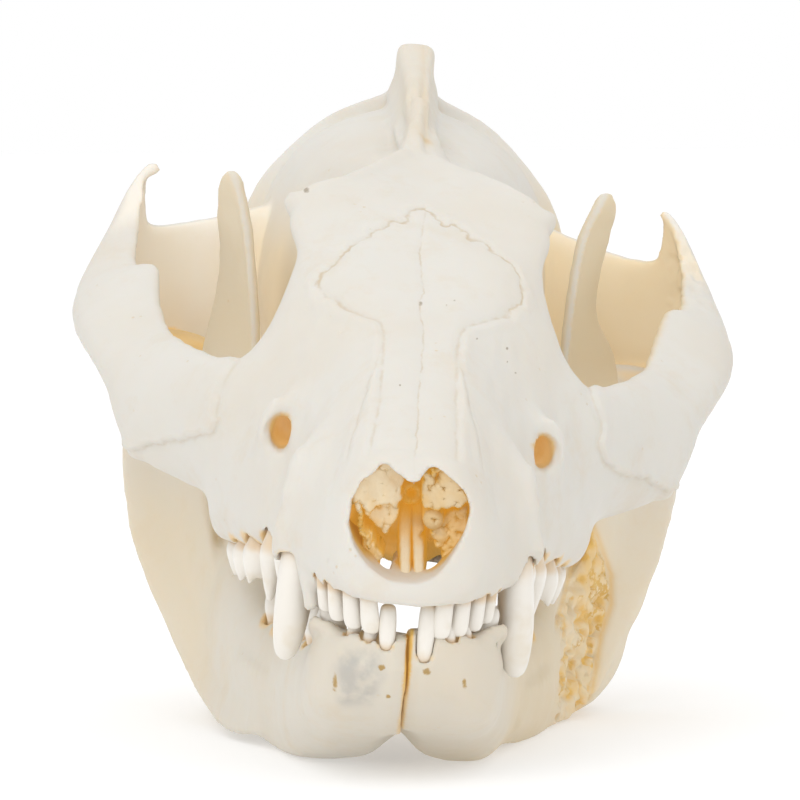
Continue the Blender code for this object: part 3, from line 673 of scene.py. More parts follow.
# %% The lower teeth of one side, in the jaw's own frame
LOWER_TEETH = [
    ("incisor_2", "peg", 1.8, 3.0, 13.2, 17.6, 0.80, 0.66),
    ("incisor_3", "blade", 3.7, 4.2, 14.2, 16.0, 0.68, 0.62),
    ("incisor_4", "blade", 5.2, 5.6, 14.6, 16.0, 0.66, 0.62),
    ("canine", "fang", 6.9, 9.6, 14.6, 17.0, 1.20, 1.45),
    ("premolar_1", "cone", 7.3, 14.2, 13.8, 15.2, 0.75, 1.10),
    ("premolar_2", "cone", 7.8, 19.6, 13.2, 16.2, 1.00, 1.90),
    ("premolar_3", "cone", 8.4, 25.2, 12.4, 16.0, 1.05, 2.00),
    ("molar_1", "molar", 9.2, 31.0, 12.0, 15.0, 1.35, 2.50),
    ("molar_2", "molar", 10.0, 36.6, 11.9, 15.0, 1.40, 2.50),
    ("molar_3", "molar", 10.9, 42.2, 12.0, 15.2, 1.45, 2.50),
    ("molar_4", "molar", 11.9, 47.7, 12.3, 15.4, 1.40, 2.40),
]
PEG_MOVE = {-1: (0.3, 0.5), 1: (-0.35, -0.8)}


def lower_rows(side):
    """The rows of one half. Its slender second incisor stands askew: x and rim are moved."""
    name, kind, x, y, rim, *rest = LOWER_TEETH[0]
    outward, up = PEG_MOVE[side]
    return [(name, kind, x + outward, y, rim + up, *rest)] + LOWER_TEETH[1:]


# %% Profiles: place along the tooth (-1 root tip, 0 rim, 1 crown tip), width, length, set-back
PROFILES = {
    "blade": [(-1.0, 0.45, 0.50, 0.0), (-0.4, 0.80, 0.85, 0.0), (0.0, 0.92, 0.95, 0.0),
              (0.35, 0.98, 1.0, 0.0), (0.72, 1.0, 0.80, 0.0), (0.93, 0.80, 0.52, 0.0),
              (1.0, 0.42, 0.28, 0.0)],
    "peg": [(-1.0, 0.45, 0.6, 2.0), (-0.4, 0.7, 0.8, 1.1), (0.0, 0.86, 0.95, 0.3), (0.3, 0.98, 1.0, 0.0),
            (0.65, 1.0, 0.9, 0.0), (0.9, 0.88, 0.62, 0.2), (0.98, 0.6, 0.4, 0.3), (1.0, 0.3, 0.2, 0.3)],
    "fang": [(-1.0, 0.55, 0.55, 1.3), (-0.5, 0.85, 0.85, 0.6), (0.0, 0.94, 1.0, 0.0), (0.3, 1.0, 0.94, -0.10),
             (0.62, 0.94, 0.80, -0.10), (0.84, 0.76, 0.62, 0.0), (0.95, 0.54, 0.42, 0.06),
             (1.0, 0.24, 0.18, 0.10)],
    "cone": [(-1.0, 0.40, 0.55, 0.0), (-0.3, 0.80, 0.90, 0.0), (0.05, 1.0, 1.0, 0.0), (0.3, 0.92, 0.86, 0.0),
             (0.7, 0.55, 0.46, -0.06), (0.94, 0.26, 0.20, -0.10), (1.0, 0.10, 0.08, -0.10)],
    "molar": [(-1.0, 0.50, 0.50, 0.0), (-0.2, 0.80, 0.82, 0.0), (0.1, 0.96, 0.96, 0.0), (0.35, 1.0, 1.0, 0.0),
              (0.6, 0.90, 0.90, 0.0), (0.72, 0.70, 0.70, 0.0), (0.72, 0.35, 0.35, 0.0)],
}
ROOT_LENGTH = {"peg": 2.4, "blade": 2.2, "fang": 5.0, "cone": 2.4, "molar": 2.4}
SOCKET_GAP = 0.3
PEG_GAP = 0.12
CUSPS = [(0.55, -0.5, 1.0), (0.55, 0.5, 0.9), (-0.5, 0.05, 0.75), (0.0, -0.62, 0.45), (0.0, 0.62, 0.45)]
LEAN = {"peg": 0.1, "fang": 0.65, "blade": -0.35, "cone": 0.0, "molar": 0.0}


def socket(row):
    """The same rings, grown by the gap that dried out round the root."""
    return tooth(row, PEG_GAP if row[1] == "peg" else SOCKET_GAP)


def tooth(row, grow=0.0):
    """Rings about the tooth's axis; on a molar each cusp adds height times exp(-(r/0.28)^2)."""
    _, kind, x, y, rim, tip, half_x, half_y = row
    place, wide, long, back = line(PROFILES[kind], 30).T
    crown = tip - rim
    z = rim + np.where(place >= 0, crown * place, math.copysign(ROOT_LENGTH[kind], crown) * place)
    square = 0.8 if kind == "molar" else 1.0
    lean = LEAN[kind] * place
    across = (half_x * wide[:, None] + grow) * blunted(np.cos(turns(28)), square)
    along = half_y * back[:, None] + (half_y * long[:, None] + grow) * blunted(np.sin(turns(28)), square)
    height = np.broadcast_to(z[:, None], across.shape).copy()
    if kind == "molar" and not grow:
        for cusp_x, cusp_y, tall in CUSPS:
            near = ((across / half_x - cusp_x) ** 2 + (along / half_y - cusp_y) ** 2) / 0.28**2
            height += 0.42 * crown * tall * np.exp(-near) * ramp(place, 0.3, 0.6)[:, None]
    return loft(np.stack([x + lean[:, None] + across, y + along, height], -1))


# %% [markdown]
# ## Build the cranium
#
# The overlapping skins become one by remeshing them on a fine grid. Then the chamber, the
# canals and the sockets are cut, and a last, finer grid closes it all in one even skin.

# %% Fuse, cut and refine
COARSE = 0.45
FINE = 0.3
SOCKET_VOXEL = 0.3
HEAD_TRIANGLES = 190000

head = make_object("bone_of_cranium", head_skins() + [nasal_skin()], from_head)
fuse(head, COARSE, 2)
hollow = make_object("hollows", hollow_skins(), from_head)
fuse(hollow, COARSE, 1)
cut(head, hollow)
sockets = make_object("sockets", both(*[socket(row) for row in UPPER_TEETH]), from_head)
fuse(sockets, SOCKET_VOXEL, 1)
cut(head, sockets)
fuse(head, FINE, 2)


def soft_face(p):
    """1 on the sides of the snout, 0 at the rims of the nose, the nerve holes and the sockets."""
    x, y, z = p.T
    wide = np.abs(x)
    weight = between(y, 6, 10, 46, 56) * between(wide, 3.5, 6, 18, 21)
    weight *= np.maximum(ramp(outline(p[:, ::2], OPENING), 1.2, 2.6), ramp(y, 9, 12))
    weight *= ramp(np.hypot(wide - 12.6, z - 9.5), 1.9, 3.2)
    gum = np.interp(y, [8, 12.8, 20, 34, 45, 50], [2.5, 4.6, 2.2, 0.4, -1.5, -1.5])
    return weight * ramp(z - gum, 0, 1.6)


weight = soft_face(to_head(points_of(head)))[:, None]
set_points(head, averaged(head, round(14 / FINE**2), 0.5 * weight))
print("the cranium has", len(head.data.vertices), "points before relief")

# %% [markdown]
# ## Relief of the cranium
#
# Sutures are where two bones meet. Each is described by a signed distance: how far a point is
# to one side of the line. That number changes evenly across the surface, so a material can
# draw a fine line wherever it passes through zero, and the same number sinks a shallow groove.

# %% Lines where bones meet
NASAL_OUTLINE = [
    (-4.2, 2.0), (-4.3, 7.1), (-3.7, 16.9), (-3.6, 33.4), (-4.0, 35.2), (-5.9, 37.5), (-8.0, 40.4),
    (-9.9, 43.4), (-9.5, 45.0), (-7.9, 47.0), (-6.0, 49.3), (-4.7, 51.6), (-3.6, 52.5), (-2.0, 54.1),
    (-1.0, 56.3), (0.2, 56.9), (1.1, 56.0), (1.9, 53.9), (2.6, 53.5), (3.4, 54.0), (4.4, 51.8),
    (5.7, 51.5), (6.6, 50.8), (7.4, 49.6), (8.6, 48.8), (9.5, 47.3), (10.2, 45.0), (9.7, 42.9),
    (8.0, 40.5), (4.4, 35.8), (3.9, 34.2), (3.4, 28.5), (3.5, 18.4), (4.0, 2.0)]
MIDLINE = [(2.0, 0.1), (18.9, -0.1), (33.5, 0.3), (39.3, -0.2), (41.2, 0.3), (47.9, -0.2), (56.1, 0.4),
           (75.0, 0.7), (100.0, 0.6)]
TEMPORAL = [
    (-12.6, 59.6), (-7.8, 61.6), (-4.7, 67.0), (-2.6, 72.5), (-1.3, 78.0), (-0.4, 84.0), (0.4, 90.0),
    (1.0, 90.0), (1.9, 84.0), (3.0, 78.0), (4.2, 72.5), (6.2, 67.5), (9.3, 62.4), (12.9, 59.4),
    (12.9, 40.0), (-12.6, 40.0)]
CHEEK_BONE = [(17.0, 14.4), (18.2, 12.2), (18.8, 10.5), (18.6, 8.6), (19.1, 7.1), (21.3, 5.4), (24.2, 3.8),
              (26.5, 2.2), (40.0, 2.0), (40.0, 30.0), (17.0, 30.0)]
PREMAXILLA_EDGE = {
    -1: [(4.0, -7.2), (9.0, -6.3), (14.0, -5.9), (20.0, -5.2), (26.0, -4.3), (30.0, -3.7)],
    1: [(4.0, 7.4), (9.0, 6.6), (14.0, 5.9), (20.0, 4.7), (26.0, 3.9), (30.0, 3.5)]}


def along_y(p, corners):
    """The x of a drawn line at each point's y."""
    return np.interp(p[:, 1], *np.array(corners).T)


def wander(p, large, small, seed=5):
    """Moves points a little to and fro, so that a drawn line becomes a natural zigzag."""
    return p + np.stack([large * noise(p, 1.5, seed + k) + small * noise(p, 0.55, seed + 10 + k)
                         for k in range(3)], 1)


def midline(p):
    q = wander(p * (0, 1, 0), 0.09, 0.03)
    return p[:, 0] - along_y(p, MIDLINE) - q[:, 0]


def nasal_edge(p):
    """Distance to the outline of the nasal bones, seen from above; the back edge zigzags more."""
    calm = fall(p[:, 1], 38, 44)[:, None]
    return outline((wander(p, 0.45, 0.28) * (1 - calm) + wander(p, 0.08, 0.02) * calm)[:, :2], NASAL_OUTLINE)


def cheek_edge(p):
    q = wander(p, 0.25, 0.12, 9)
    return outline(np.stack([np.abs(q[:, 0]), q[:, 2]], 1), CHEEK_BONE)


def premaxilla_edge(p):
    """Distance across the face to the seam that climbs beside the nasal bones."""
    q = wander(p, 0.12, 0.06, 15)
    right = along_y(p, PREMAXILLA_EDGE[-1]) - q[:, 0]
    return np.where(p[:, 0] < 0, right, q[:, 0] - along_y(p, PREMAXILLA_EDGE[1]))


# %% Which parts of them are to be seen
def facing(normal, low=0.05, high=0.35):
    """How far a surface looks up."""
    return ramp(normal[:, 2], low, high)


def shown(p, normal):
    """How much of each seam is to be seen: the midline, the nasal edge and the cheek."""
    x, y, _ = p.T
    upper = facing(normal)
    cheek = ramp(np.abs(x), 16, 17) * fall(y, 58, 62) * ramp(y, 36, 38)
    cheek *= ramp(-normal[:, 1] + 0.6 * normal[:, 2] + 0.5 * np.abs(normal[:, 0]), 0.1, 0.4)
    return upper * between(y, 4, 8, 54, 57), upper * between(y, 6, 9, 57, 60), cheek


def inside_nose(p, normal):
    """Surfaces of the chamber: they look toward its axis."""
    x, y, z = p.T
    up = z - CHAMBER_CENTRE[1]
    near = np.hypot(x / CHAMBER_HALF[0], up / CHAMBER_HALF[1])
    toward = -normal[:, 0] * x - normal[:, 2] * up
    return ramp(toward, 3.2, 4.4) * fall(near, 1.03, 1.10) * between(y, 3.8, 5.6, 26, 30)


def inside_canal(p, normal):
    """The walls of the nerve canal: they look toward its axis, from just behind its front rim."""
    x, y, z = p.T
    out, up = np.abs(x) - np.interp(y, [31, 35.4], [12.65, 11.5]), z - 9.6
    near = np.hypot(out, np.maximum(np.abs(up) - 0.5, 0))
    toward = -(out * normal[:, 0] * np.sign(x) + up * normal[:, 2])
    behind = y - (30.2 + 0.9 * out - 0.35 * up)
    wall = ramp(toward, 0.25, 0.6) * ramp(behind, 0.3, 0.8)
    return fall(near, 1.3, 1.7) * np.maximum(wall, ramp(behind, 2.0, 2.8)) * fall(y, 46, 52)


# %% Carve the lines and the unevenness into the mesh
NASAL_LIFT = 0.16
NASAL_GROOVE = 0.14
MIDLINE_GROOVE = 0.10
CHEEK_STEP = 0.34
TEMPORAL_RIDGE = 0.38
CREST_GROOVE = 0.42


def relief(made):
    """Adds up depths in millimetres, each times ramps that keep it to its own part of the skull."""
    p = to_head(points_of(made))
    normal = normals_of(made) @ HEAD_TURN
    x, y, z = p.T
    wide = np.abs(x)
    show_mid, show_nasal, show_cheek = shown(p, normal)
    nasal, cheek, seam = nasal_edge(p), cheek_edge(p), premaxilla_edge(p)
    temple = outline(wander(p, 0.15, 0.05)[:, :2], TEMPORAL)
    depth = 0.06 * noise(p, 4.0, 1) + 0.03 * noise(p, 1.3, 2)
    depth += 0.09 * noise(p * (1, 0.22, 0.3), 0.9, 8) * fall(y, 40, 50) * ramp(wide, 5, 8)
    depth -= MIDLINE_GROOVE * bump(midline(p), 0, 0.35) * show_mid
    depth -= NASAL_GROOVE * bump(nasal, 0, 0.3) * show_nasal
    depth += NASAL_LIFT * bump(nasal, 0.75, 0.5) * show_nasal * (0.5 + 0.5 * fall(y, 44, 50))
    depth += 0.10 * fall(nasal, -2.2, -0.4) * show_nasal
    upper = facing(normal, -0.1, 0.3) * between(y, 7, 12, 26, 34)
    depth += 0.14 * (bump(seam, -0.5, 0.5) - bump(seam, 0.15, 0.3)) * upper
    depth -= 0.3 * bump(seam, 1.6, 1.2) * between(y, 6, 10, 16, 26)
    step = CHEEK_STEP * fall(cheek, -0.3, 0.1)
    depth += (step + 0.12 * bump(cheek, -0.5, 0.4) - 0.08 * bump(cheek, 0.1, 0.3)) * show_cheek
    hollow = bump(wide, 12.9, 1.1) * between(y, 13, 17, 27, 29.5) * between(z, 0.5, 3, 8.5, 10)
    depth -= 0.45 * hollow
    depth -= 0.3 * bump(np.hypot(wide - 15.0, y - 38.0), 0, 4.5) * ramp(z, 6, 10)
    top = facing(normal, 0.2, 0.6) * ramp(y, 57, 61) * ramp(z, 24, 26)
    depth += (0.15 * fall(temple, -0.5, 0.2) + TEMPORAL_RIDGE * bump(temple, -0.4, 0.9)) * top
    depth -= 0.45 * ramp(temple, 0.3, 1.8) * ramp(4.6 - temple, 0, 2.6) * top
    depth -= 0.3 * bump(np.hypot(x, (y - 63) * 0.7), 0, 4.5) * top
    groove = bump(x, 0.65, 0.45) * between(y, 72, 77, 94, 104) * ramp(z, 27, 30)
    depth -= CREST_GROOVE * groove * facing(normal, 0.1, 0.5)
    broken = ramp(x, 26.5, 27.6) * between(y, 78, 80, 90, 91.5) * ramp(-normal[:, 1], 0.1, 0.4)
    depth += broken * (0.22 * noise(p, 1.1, 13) + 0.16 * noise(p, 0.6, 14))
    displace(made, normal @ HEAD_TURN.T, depth)


relief(head)
thin_out(head, HEAD_TRIANGLES)

# %% Numbers that the bone's material reads
NECK_DEPTH = {"fang": 0.5, "peg": 0.4}


def necks(p, rows):
    """1 in the sockets and in a thin line round each tooth, for points of that jaw's own frame."""
    most = np.zeros(len(p))
    for _, kind, x, y, rim, _, half_x, half_y in rows:
        grow = 0.1 if kind == "peg" else SOCKET_GAP
        away = np.hypot((p[:, 0] - x) / (half_x + grow), (p[:, 1] - y) / (half_y + grow))
        deep = ramp(NECK_DEPTH.get(kind, 1.7) - np.abs(p[:, 2] - rim), 0, 0.5)
        most = np.maximum(most, fall(away, 1.0, 1.14) * deep)
    return most


def mark_head(made):
    """Seam distances, and how much hollow tint, warm tint, tan and painted light each point gets, from 0 to
    1.
    """
    p = to_head(points_of(made))
    normal = normals_of(made) @ HEAD_TURN
    x, y, z = p.T
    wide, right = np.abs(x), x < 0
    show_mid, show_nasal, show_cheek = shown(p, normal)
    climbing = y < 35.5
    premaxilla = premaxilla_edge(p)
    rising = facing(normal, -0.1, 0.3) * between(y, 8, 13, 26, 32)
    give(made, seam_mid=midline(p), show_mid=0.3 * show_mid,
         seam_nasal=nasal_edge(p), show_nasal=show_nasal * (0.2 + 0.22 * ramp(y, 36, 44)),
         seam_side=np.where(climbing, premaxilla, cheek_edge(p)),
         show_side=0.14 * np.where(climbing, rising, show_cheek))
    # Painted shade and stain: the canine hollow and the valley beside the premaxilla seam add to the hollow
    # tint.
    valley = bump(wide, 12.9, 1.2) * between(y, 13, 17, 27, 29.5) * ramp(z, 0.5, 3)
    valley += bump(premaxilla, 2.2, 1.2) * between(y, 6, 10, 20, 30)
    # Warm tint, partly stain and partly painted shade: the temporal fossa, the inward faces of the arches,
    # the front of their roots and the top of the crest; the arches get more on the animal's left.
    fossa = ramp(y, 56, 66) * fall(wide, 10, 22) * fall(z, 14, 25)
    inward = ramp(-normal[:, 0] * np.sign(x), 0.0, 0.5) * ramp(wide, 15, 19) * ramp(y, 58, 66)
    front = ramp(-normal[:, 1], 0.1, 0.5) * ramp(y, 84, 88) * fall(z, 17, 24)
    arches = np.where(right, 0.2 * inward + 0.15 * front, 0.9 * inward + 0.7 * front)
    sockets = necks(p * np.where(right[:, None], (-1, 1, 1), 1), UPPER_TEETH)
    canal = 0.8 * inside_canal(p, normal)
    # The tan inside the nose, in the nerve canals and round the sockets is partly stain and partly painted
    # shade.
    tan = np.max([inside_nose(p, normal), canal, 0.7 * sockets], 0)
    groove = bump(x, 0.65, 0.35) * ramp(y, 74, 78) * ramp(z, 27, 30)
    spot = bump(np.hypot(x - 0.7, y - 78.5), 0, 0.7) * facing(normal)
    # Stain and painted shade: tan on the upward-facing ledge inside each arch.
    ledge = ramp(normal[:, 2], 0.2, 0.5) * ramp(y, 78, 82) * fall(z, 9, 10) * ramp(wide, 13, 16)
    ledge *= np.where(right, 0.8, 0.35 + 0.4 * noise(p, 2.0, 55))
    # Painted light: the forward-facing front of each arch root gets emitted light.
    root = between(y, 84, 88, 96, 100) * ramp(wide, 8, 14) * ramp(-normal[:, 1], 0.1, 0.5)
    # Painted light: emitted light in the nose, the canals, the fossa, the sockets and on the ledge, where
    # shade falls.
    lit = 0.12 * tan + 0.35 * canal * ramp(y, 31.5, 33.5) + 0.12 * fossa + 0.1 * sockets + 0.2 * ledge
    give(made, hollow=hollow_stain_and_shade(made) + 0.3 * valley,
         warm=np.clip(0.9 * fossa + arches + 0.3 * ramp(z, 30, 33), 0, 1),
         tan=np.clip(tan + ledge + 0.16 * groove + 0.5 * spot, 0, 1),
         glow=np.clip(lit + root * np.where(right, 0.26, 0.2), 0, 1))


mark_head(head)

# %% [markdown]
# ## The two halves of the jaw
#
# The halves never grow together in this animal, so the seam at the chin stays open. Each half
# is a body of rounded boxes, a tall blade for the jaw muscle, a shelf that flares outward and
# ends in the joint, and a heel that turns inward.

# %% Body of the jaw: y, inner x, outer x, top, bottom, and the power that rounds the section
JAW_BODY = np.array([
    (2.3, -2.6, 3.2, 14.4, 11.6, 0.5),
    (3.4, -2.6, 5.0, 14.8, 9.8, 0.45),
    (7.0, -2.6, 7.9, 14.7, 7.0, 0.45),
    (12.0, -2.6, 9.2, 14.3, 4.8, 0.5),
    (18.0, -2.6, 9.6, 13.4, 3.0, 0.7),
    (24.0, -1.6, 10.4, 12.9, 1.4, 0.7),
    (30.0, 2.0, 11.3, 12.4, 0.1, 0.75),
    (36.0, 4.2, 12.2, 12.2, -0.3, 0.8),
    (43.0, 6.2, 13.5, 12.2, 0.0, 0.8),
    (50.0, 8.2, 15.1, 12.6, 0.5, 0.8),
    (58.0, 10.2, 17.0, 14.0, 0.8, 0.8),
    (66.0, 12.0, 18.4, 16.5, 0.8, 0.8),
    (74.0, 13.6, 19.2, 18.0, 0.3, 0.8),
    (80.0, 15.0, 19.4, 18.0, 1.2, 0.8),
    (84.5, 16.6, 19.0, 16.0, 4.0, 0.8),
])
SEAM_LIFT = 1.4
SIDE_LIFT = {-1: -0.9, 1: 2.3}


def jaw_body_skin(side):
    """Superellipse sections: cosine and sine raised to a power below one make rounded boxes.

    Smooth steps in x lift the underside toward the seam and move it at the outer side: up on the
    animal's left, and a little down on its right."""
    at = np.linspace(JAW_BODY[0, 0], JAW_BODY[-1, 0], 150)[:, None]
    inner, outer, top, low, soft = smooth(at[:, 0], JAW_BODY[:, 0], JAW_BODY[:, 1:]).T[..., None]
    wide, tall = blunted(np.cos(turns(72)), soft), blunted(np.sin(turns(72)), soft)
    x = 0.5 * (outer + inner) + 0.5 * (outer - inner) * wide
    z = 0.5 * (top + low) + 0.5 * (top - low) * tall
    under = np.clip(-tall, 0, 1)
    z = z + SEAM_LIFT * under * ramp(2.9 - x, 0, 3.0) * between(at, 12, 19, 30, 38)
    z = z + SIDE_LIFT[side] * under * ramp(x, 7.5, 13.0) * between(at, 24, 31, 57, 66)
    return upright(at[:, 0], np.stack([x, z], -1))


def seam_block(side):
    """Everything past the middle plane, whose face wavers as the seam of the chin does."""
    up = np.linspace(-8, 24, 60)
    at = np.linspace(-6, 60, 90)[:, None]
    grid = np.stack(np.broadcast_arrays(0.0, at, up), -1).reshape(-1, 3)
    waver = (0.16 * noise(grid, 2.2, 41) + 0.06 * noise(grid, 0.8, 42)).reshape(len(at), len(up))
    face = 0.03 + 0.05 * fall(at, 4, 9) + side * waver
    near = np.stack(np.broadcast_arrays(face, at, up), -1)
    far = np.stack(np.broadcast_arrays(-12.0, at, up[::-1]), -1)
    return loft(np.concatenate([near, far], 1))


# %% The blade: height, x and y of its front edge, x and y of its back edge, thickness
BLADE = np.array([
    (9.0, 14.4, 62.0, 17.6, 83.5, 3.4),
    (16.0, 14.5, 65.0, 18.4, 84.5, 3.0),
    (22.0, 14.8, 67.5, 19.8, 84.0, 2.5),
    (28.0, 15.1, 69.0, 21.2, 82.5, 2.2),
    (35.0, 15.6, 70.5, 21.5, 81.0, 2.0),
    (38.5, 15.8, 71.3, 21.0, 80.5, 2.0),
    (42.0, 16.3, 72.0, 20.4, 80.0, 1.9),
    (47.0, 17.0, 73.4, 20.3, 79.4, 1.8),
    (50.5, 17.6, 74.6, 20.9, 79.0, 1.8),
    (53.0, 18.3, 75.6, 20.7, 78.6, 1.7),
    (54.6, 18.9, 76.4, 20.2, 78.0, 1.3),
    (55.1, 19.3, 76.9, 19.8, 77.6, 0.7),
])
LEFT_FRONT_MOVE = [0, 0, 0, -0.1, -0.3, -0.4, -0.6, -0.9, -1.0, -0.7, -0.5, -0.5]
LEFT_BACK_MOVE = [0, 0, 0.2, 0.3, 0.3, 0.0, -1.4, -1.2, -1.1, -0.7, -0.7, -0.5]


def blade_skin(side):
    """Flat sections with blunt edges; the two blades lean and narrow differently."""
    at = np.linspace(BLADE[0, 0], BLADE[-1, 0], 90)
    rows = BLADE.copy()
    if side > 0:
        rows[:, 1] += LEFT_FRONT_MOVE
        rows[:, 3] += LEFT_BACK_MOVE
    xf, yf, xb, yb, thick = smooth(at, rows[:, 0], rows[:, 1:]).T
    along = np.stack([xb - xf, yb - yf], -1)
    across = np.stack([-along[:, 1], along[:, 0]], -1) / np.linalg.norm(along, axis=1)[:, None]
    middle = 0.5 * np.stack([xf + xb, yf + yb], -1)
    blunt, reach = blunted(np.sin(turns(48)), 0.5), blunted(np.cos(turns(48)), 0.7)
    flat = (middle[:, None] - 0.5 * reach[None, :, None] * along[:, None]
            + 0.5 * blunt[None, :, None] * (across * thick[:, None])[:, None])
    return loft(np.concatenate([flat, np.broadcast_to(at[:, None, None], flat.shape[:2] + (1,))], -1))


# %% Outer shelf, heel and the swelling of the left half
SHELF_OUT = np.array([
    (29.4, 84.5, 28.4), (29.1, 84.5, 25.2), (28.5, 84.2, 21.0), (27.3, 83.2, 16.2), (25.2, 81.0, 11.6),
    (22.6, 77.5, 7.2), (20.4, 71.0, 3.7), (18.4, 62.0, 1.4), (16.0, 50.0, 0.2), (9.8, 33.0, 1.8)])
SHELF_MID = [
    (23.5, 86.0, 27.5), (23.2, 86.2, 24.0), (22.8, 85.6, 20.0), (22.0, 84.0, 14.8), (20.6, 81.5, 10.0),
    (19.0, 77.6, 5.6), (17.4, 71.0, 3.0), (15.2, 62.0, 1.6), (13.2, 50.0, 1.2), (10.8, 38.0, 1.4)]
SHELF_IN = [
    (18.5, 86.5, 26.0), (18.3, 86.0, 22.5), (18.0, 85.0, 18.5), (17.6, 83.5, 13.0), (17.2, 81.0, 8.0),
    (16.6, 77.0, 4.0), (15.6, 71.0, 2.0), (13.4, 62.0, 1.4), (11.6, 50.0, 1.8), (9.4, 38.0, 2.2)]
FLANK_OUT = [
    (21.0, 80.0, 29.0), (20.6, 78.5, 26.0), (19.8, 76.0, 22.0), (18.8, 72.0, 17.4), (17.6, 67.0, 13.0),
    (16.6, 61.0, 10.0), (15.6, 54.0, 8.4), (14.8, 47.0, 7.6), (13.4, 41.0, 7.2), (11.4, 34.0, 7.0)]
FLANK_DIP = [
    (24.6, 83.4, 28.5), (24.2, 82.6, 25.5), (23.5, 81.4, 21.4), (22.4, 79.0, 16.4), (20.8, 75.6, 11.8),
    (19.1, 70.6, 7.8), (17.8, 64.5, 5.4), (16.4, 56.0, 4.2), (14.6, 47.0, 3.4), (12.2, 36.5, 3.2)]
LEFT_SHELF_MOVE = np.array([(0, 0, 0)] * 5 + [(0.8, 0, 0.4), (0.6, 0, -0.2), (-1.4, 0, 0.8), (-1.6, 0, 1.3),
                                              (-0.6, 0, 0.8)])
HEEL_HEIGHT = {-1: 0.6, 1: 1.8}
SWELLING = [(25.6, 84.6, 19.0), (24.6, 83.4, 14.0), (22.4, 82.0, 10.4), (20.8, 80.0, 7.0), (18.6, 76.6, 4.2),
            (16.0, 72.0, 3.4)]


def flank_skin(shelf):
    """A wedge that carries the side of the body out to the shelf in one hollow sweep."""
    parts = [line(part, 90) for part in (shelf, FLANK_DIP, FLANK_OUT, SHELF_IN, SHELF_MID)]
    return loft(ring(np.stack(parts, 1), 50))


def jaw_skins(side):
    heel = HEEL_HEIGHT[side]
    shelf = SHELF_OUT + LEFT_SHELF_MOVE * (side > 0)
    shapes = [jaw_body_skin(side), blade_skin(side), flank_skin(shelf),
              plate(shelf, SHELF_MID, SHELF_IN, [2.0] * 8 + [1.1, 0.5]),
              tube([(6.2, 6.4, 13.9), (7.8, 8.0, 14.9), (8.7, 9.6, 14.9), (8.9, 12.4, 14.0)],
                   [0.6, 0.7, 0.7, 0.6]),
              ball((23.4, 85.6, 29.0), (5.6, 2.6, 2.0)), ball((13.2, 80.0, heel), (5.6, 9.0, 1.8)),
              tube([(11.4, 84.0, heel + 0.2), (9.8, 89.0, heel + 1.0), (8.8, 92.5, heel + 2.6)],
                   [2.2, 1.5, 0.7])]
    if side > 0:
        shapes.append(tube(SWELLING, [1.0, 2.0, 2.7, 3.3, 3.0, 1.5]))
    return shapes


# %% Fuse, rest on the table, cut the sockets and refine
JAW_TRIANGLES = 110000


def table_block():
    """A block below the table. It keeps the undersides from reaching under the floor."""
    corners = np.array([(-60, -90, -9), (60, -90, -9), (60, 90, -9), (-60, 90, -9)], float)
    return loft(np.stack([corners, corners + (0, 0, 9)]))


ROUGH = [
    (19.6, 21.5), (20.8, 19.2), (22.4, 15.6), (22.6, 12.6), (21.7, 9.6), (21.2, 6.2), (20.8, 3.0),
    (19.2, 1.2), (15.2, 0.3), (14.7, 1.5), (14.9, 5.4), (15.9, 11.0), (17.6, 15.6), (19.0, 19.0)]
# Holes in the chin: x, y, z, half width and half height
CHIN_HOLES = {-1: [(2.4, 3.6, 11.7, 0.34, 0.34), (1.6, 6.0, 8.9, 0.26, 0.26), (6.6, 7.4, 9.8, 0.30, 0.95)],
              1: [(1.8, 4.0, 11.1, 0.42, 0.38), (5.4, 6.6, 10.2, 0.26, 0.7)]}


def rough_patch(p):
    """Where the swollen bone is pitted: inside an outline seen from the front, at the back."""
    q = wander(p, 0.4, 0.2, 61)
    return fall(outline(q[:, ::2], ROUGH), -0.5, 0.1) * ramp(p[:, 1], 56, 62)


PITS = [(21.3, 12.9, 0.55), (21.4, 11.2, 0.45), (19.8, 11.7, 0.4), (18.4, 6.7, 0.5), (18.1, 4.1, 0.45),
        (19.1, 15.6, 0.4), (20.6, 8.6, 0.3), (19.6, 3.0, 0.35)]


def pitted(p):
    """The measured holes, smaller ones where a noise is high, and cracks where one passes zero."""
    q = wander(p, 0.25, 0.15, 31)
    large = sum(bump(np.hypot(q[:, 0] - x, q[:, 2] - z), 0, r) for x, z, r in PITS)
    q = p * (1, 0.5, 1)
    torn = bump(noise(q, 1.5, 71), 0, 0.12) * ramp(noise(q, 3.0, 72), -0.05, 0.2)
    small = ramp(noise(q, 1.2, 23) + 0.5 * noise(q, 0.6, 24), 0.55, 0.75)
    return np.maximum(np.clip(large, 0, 1), 0.7 * np.maximum(small, torn))


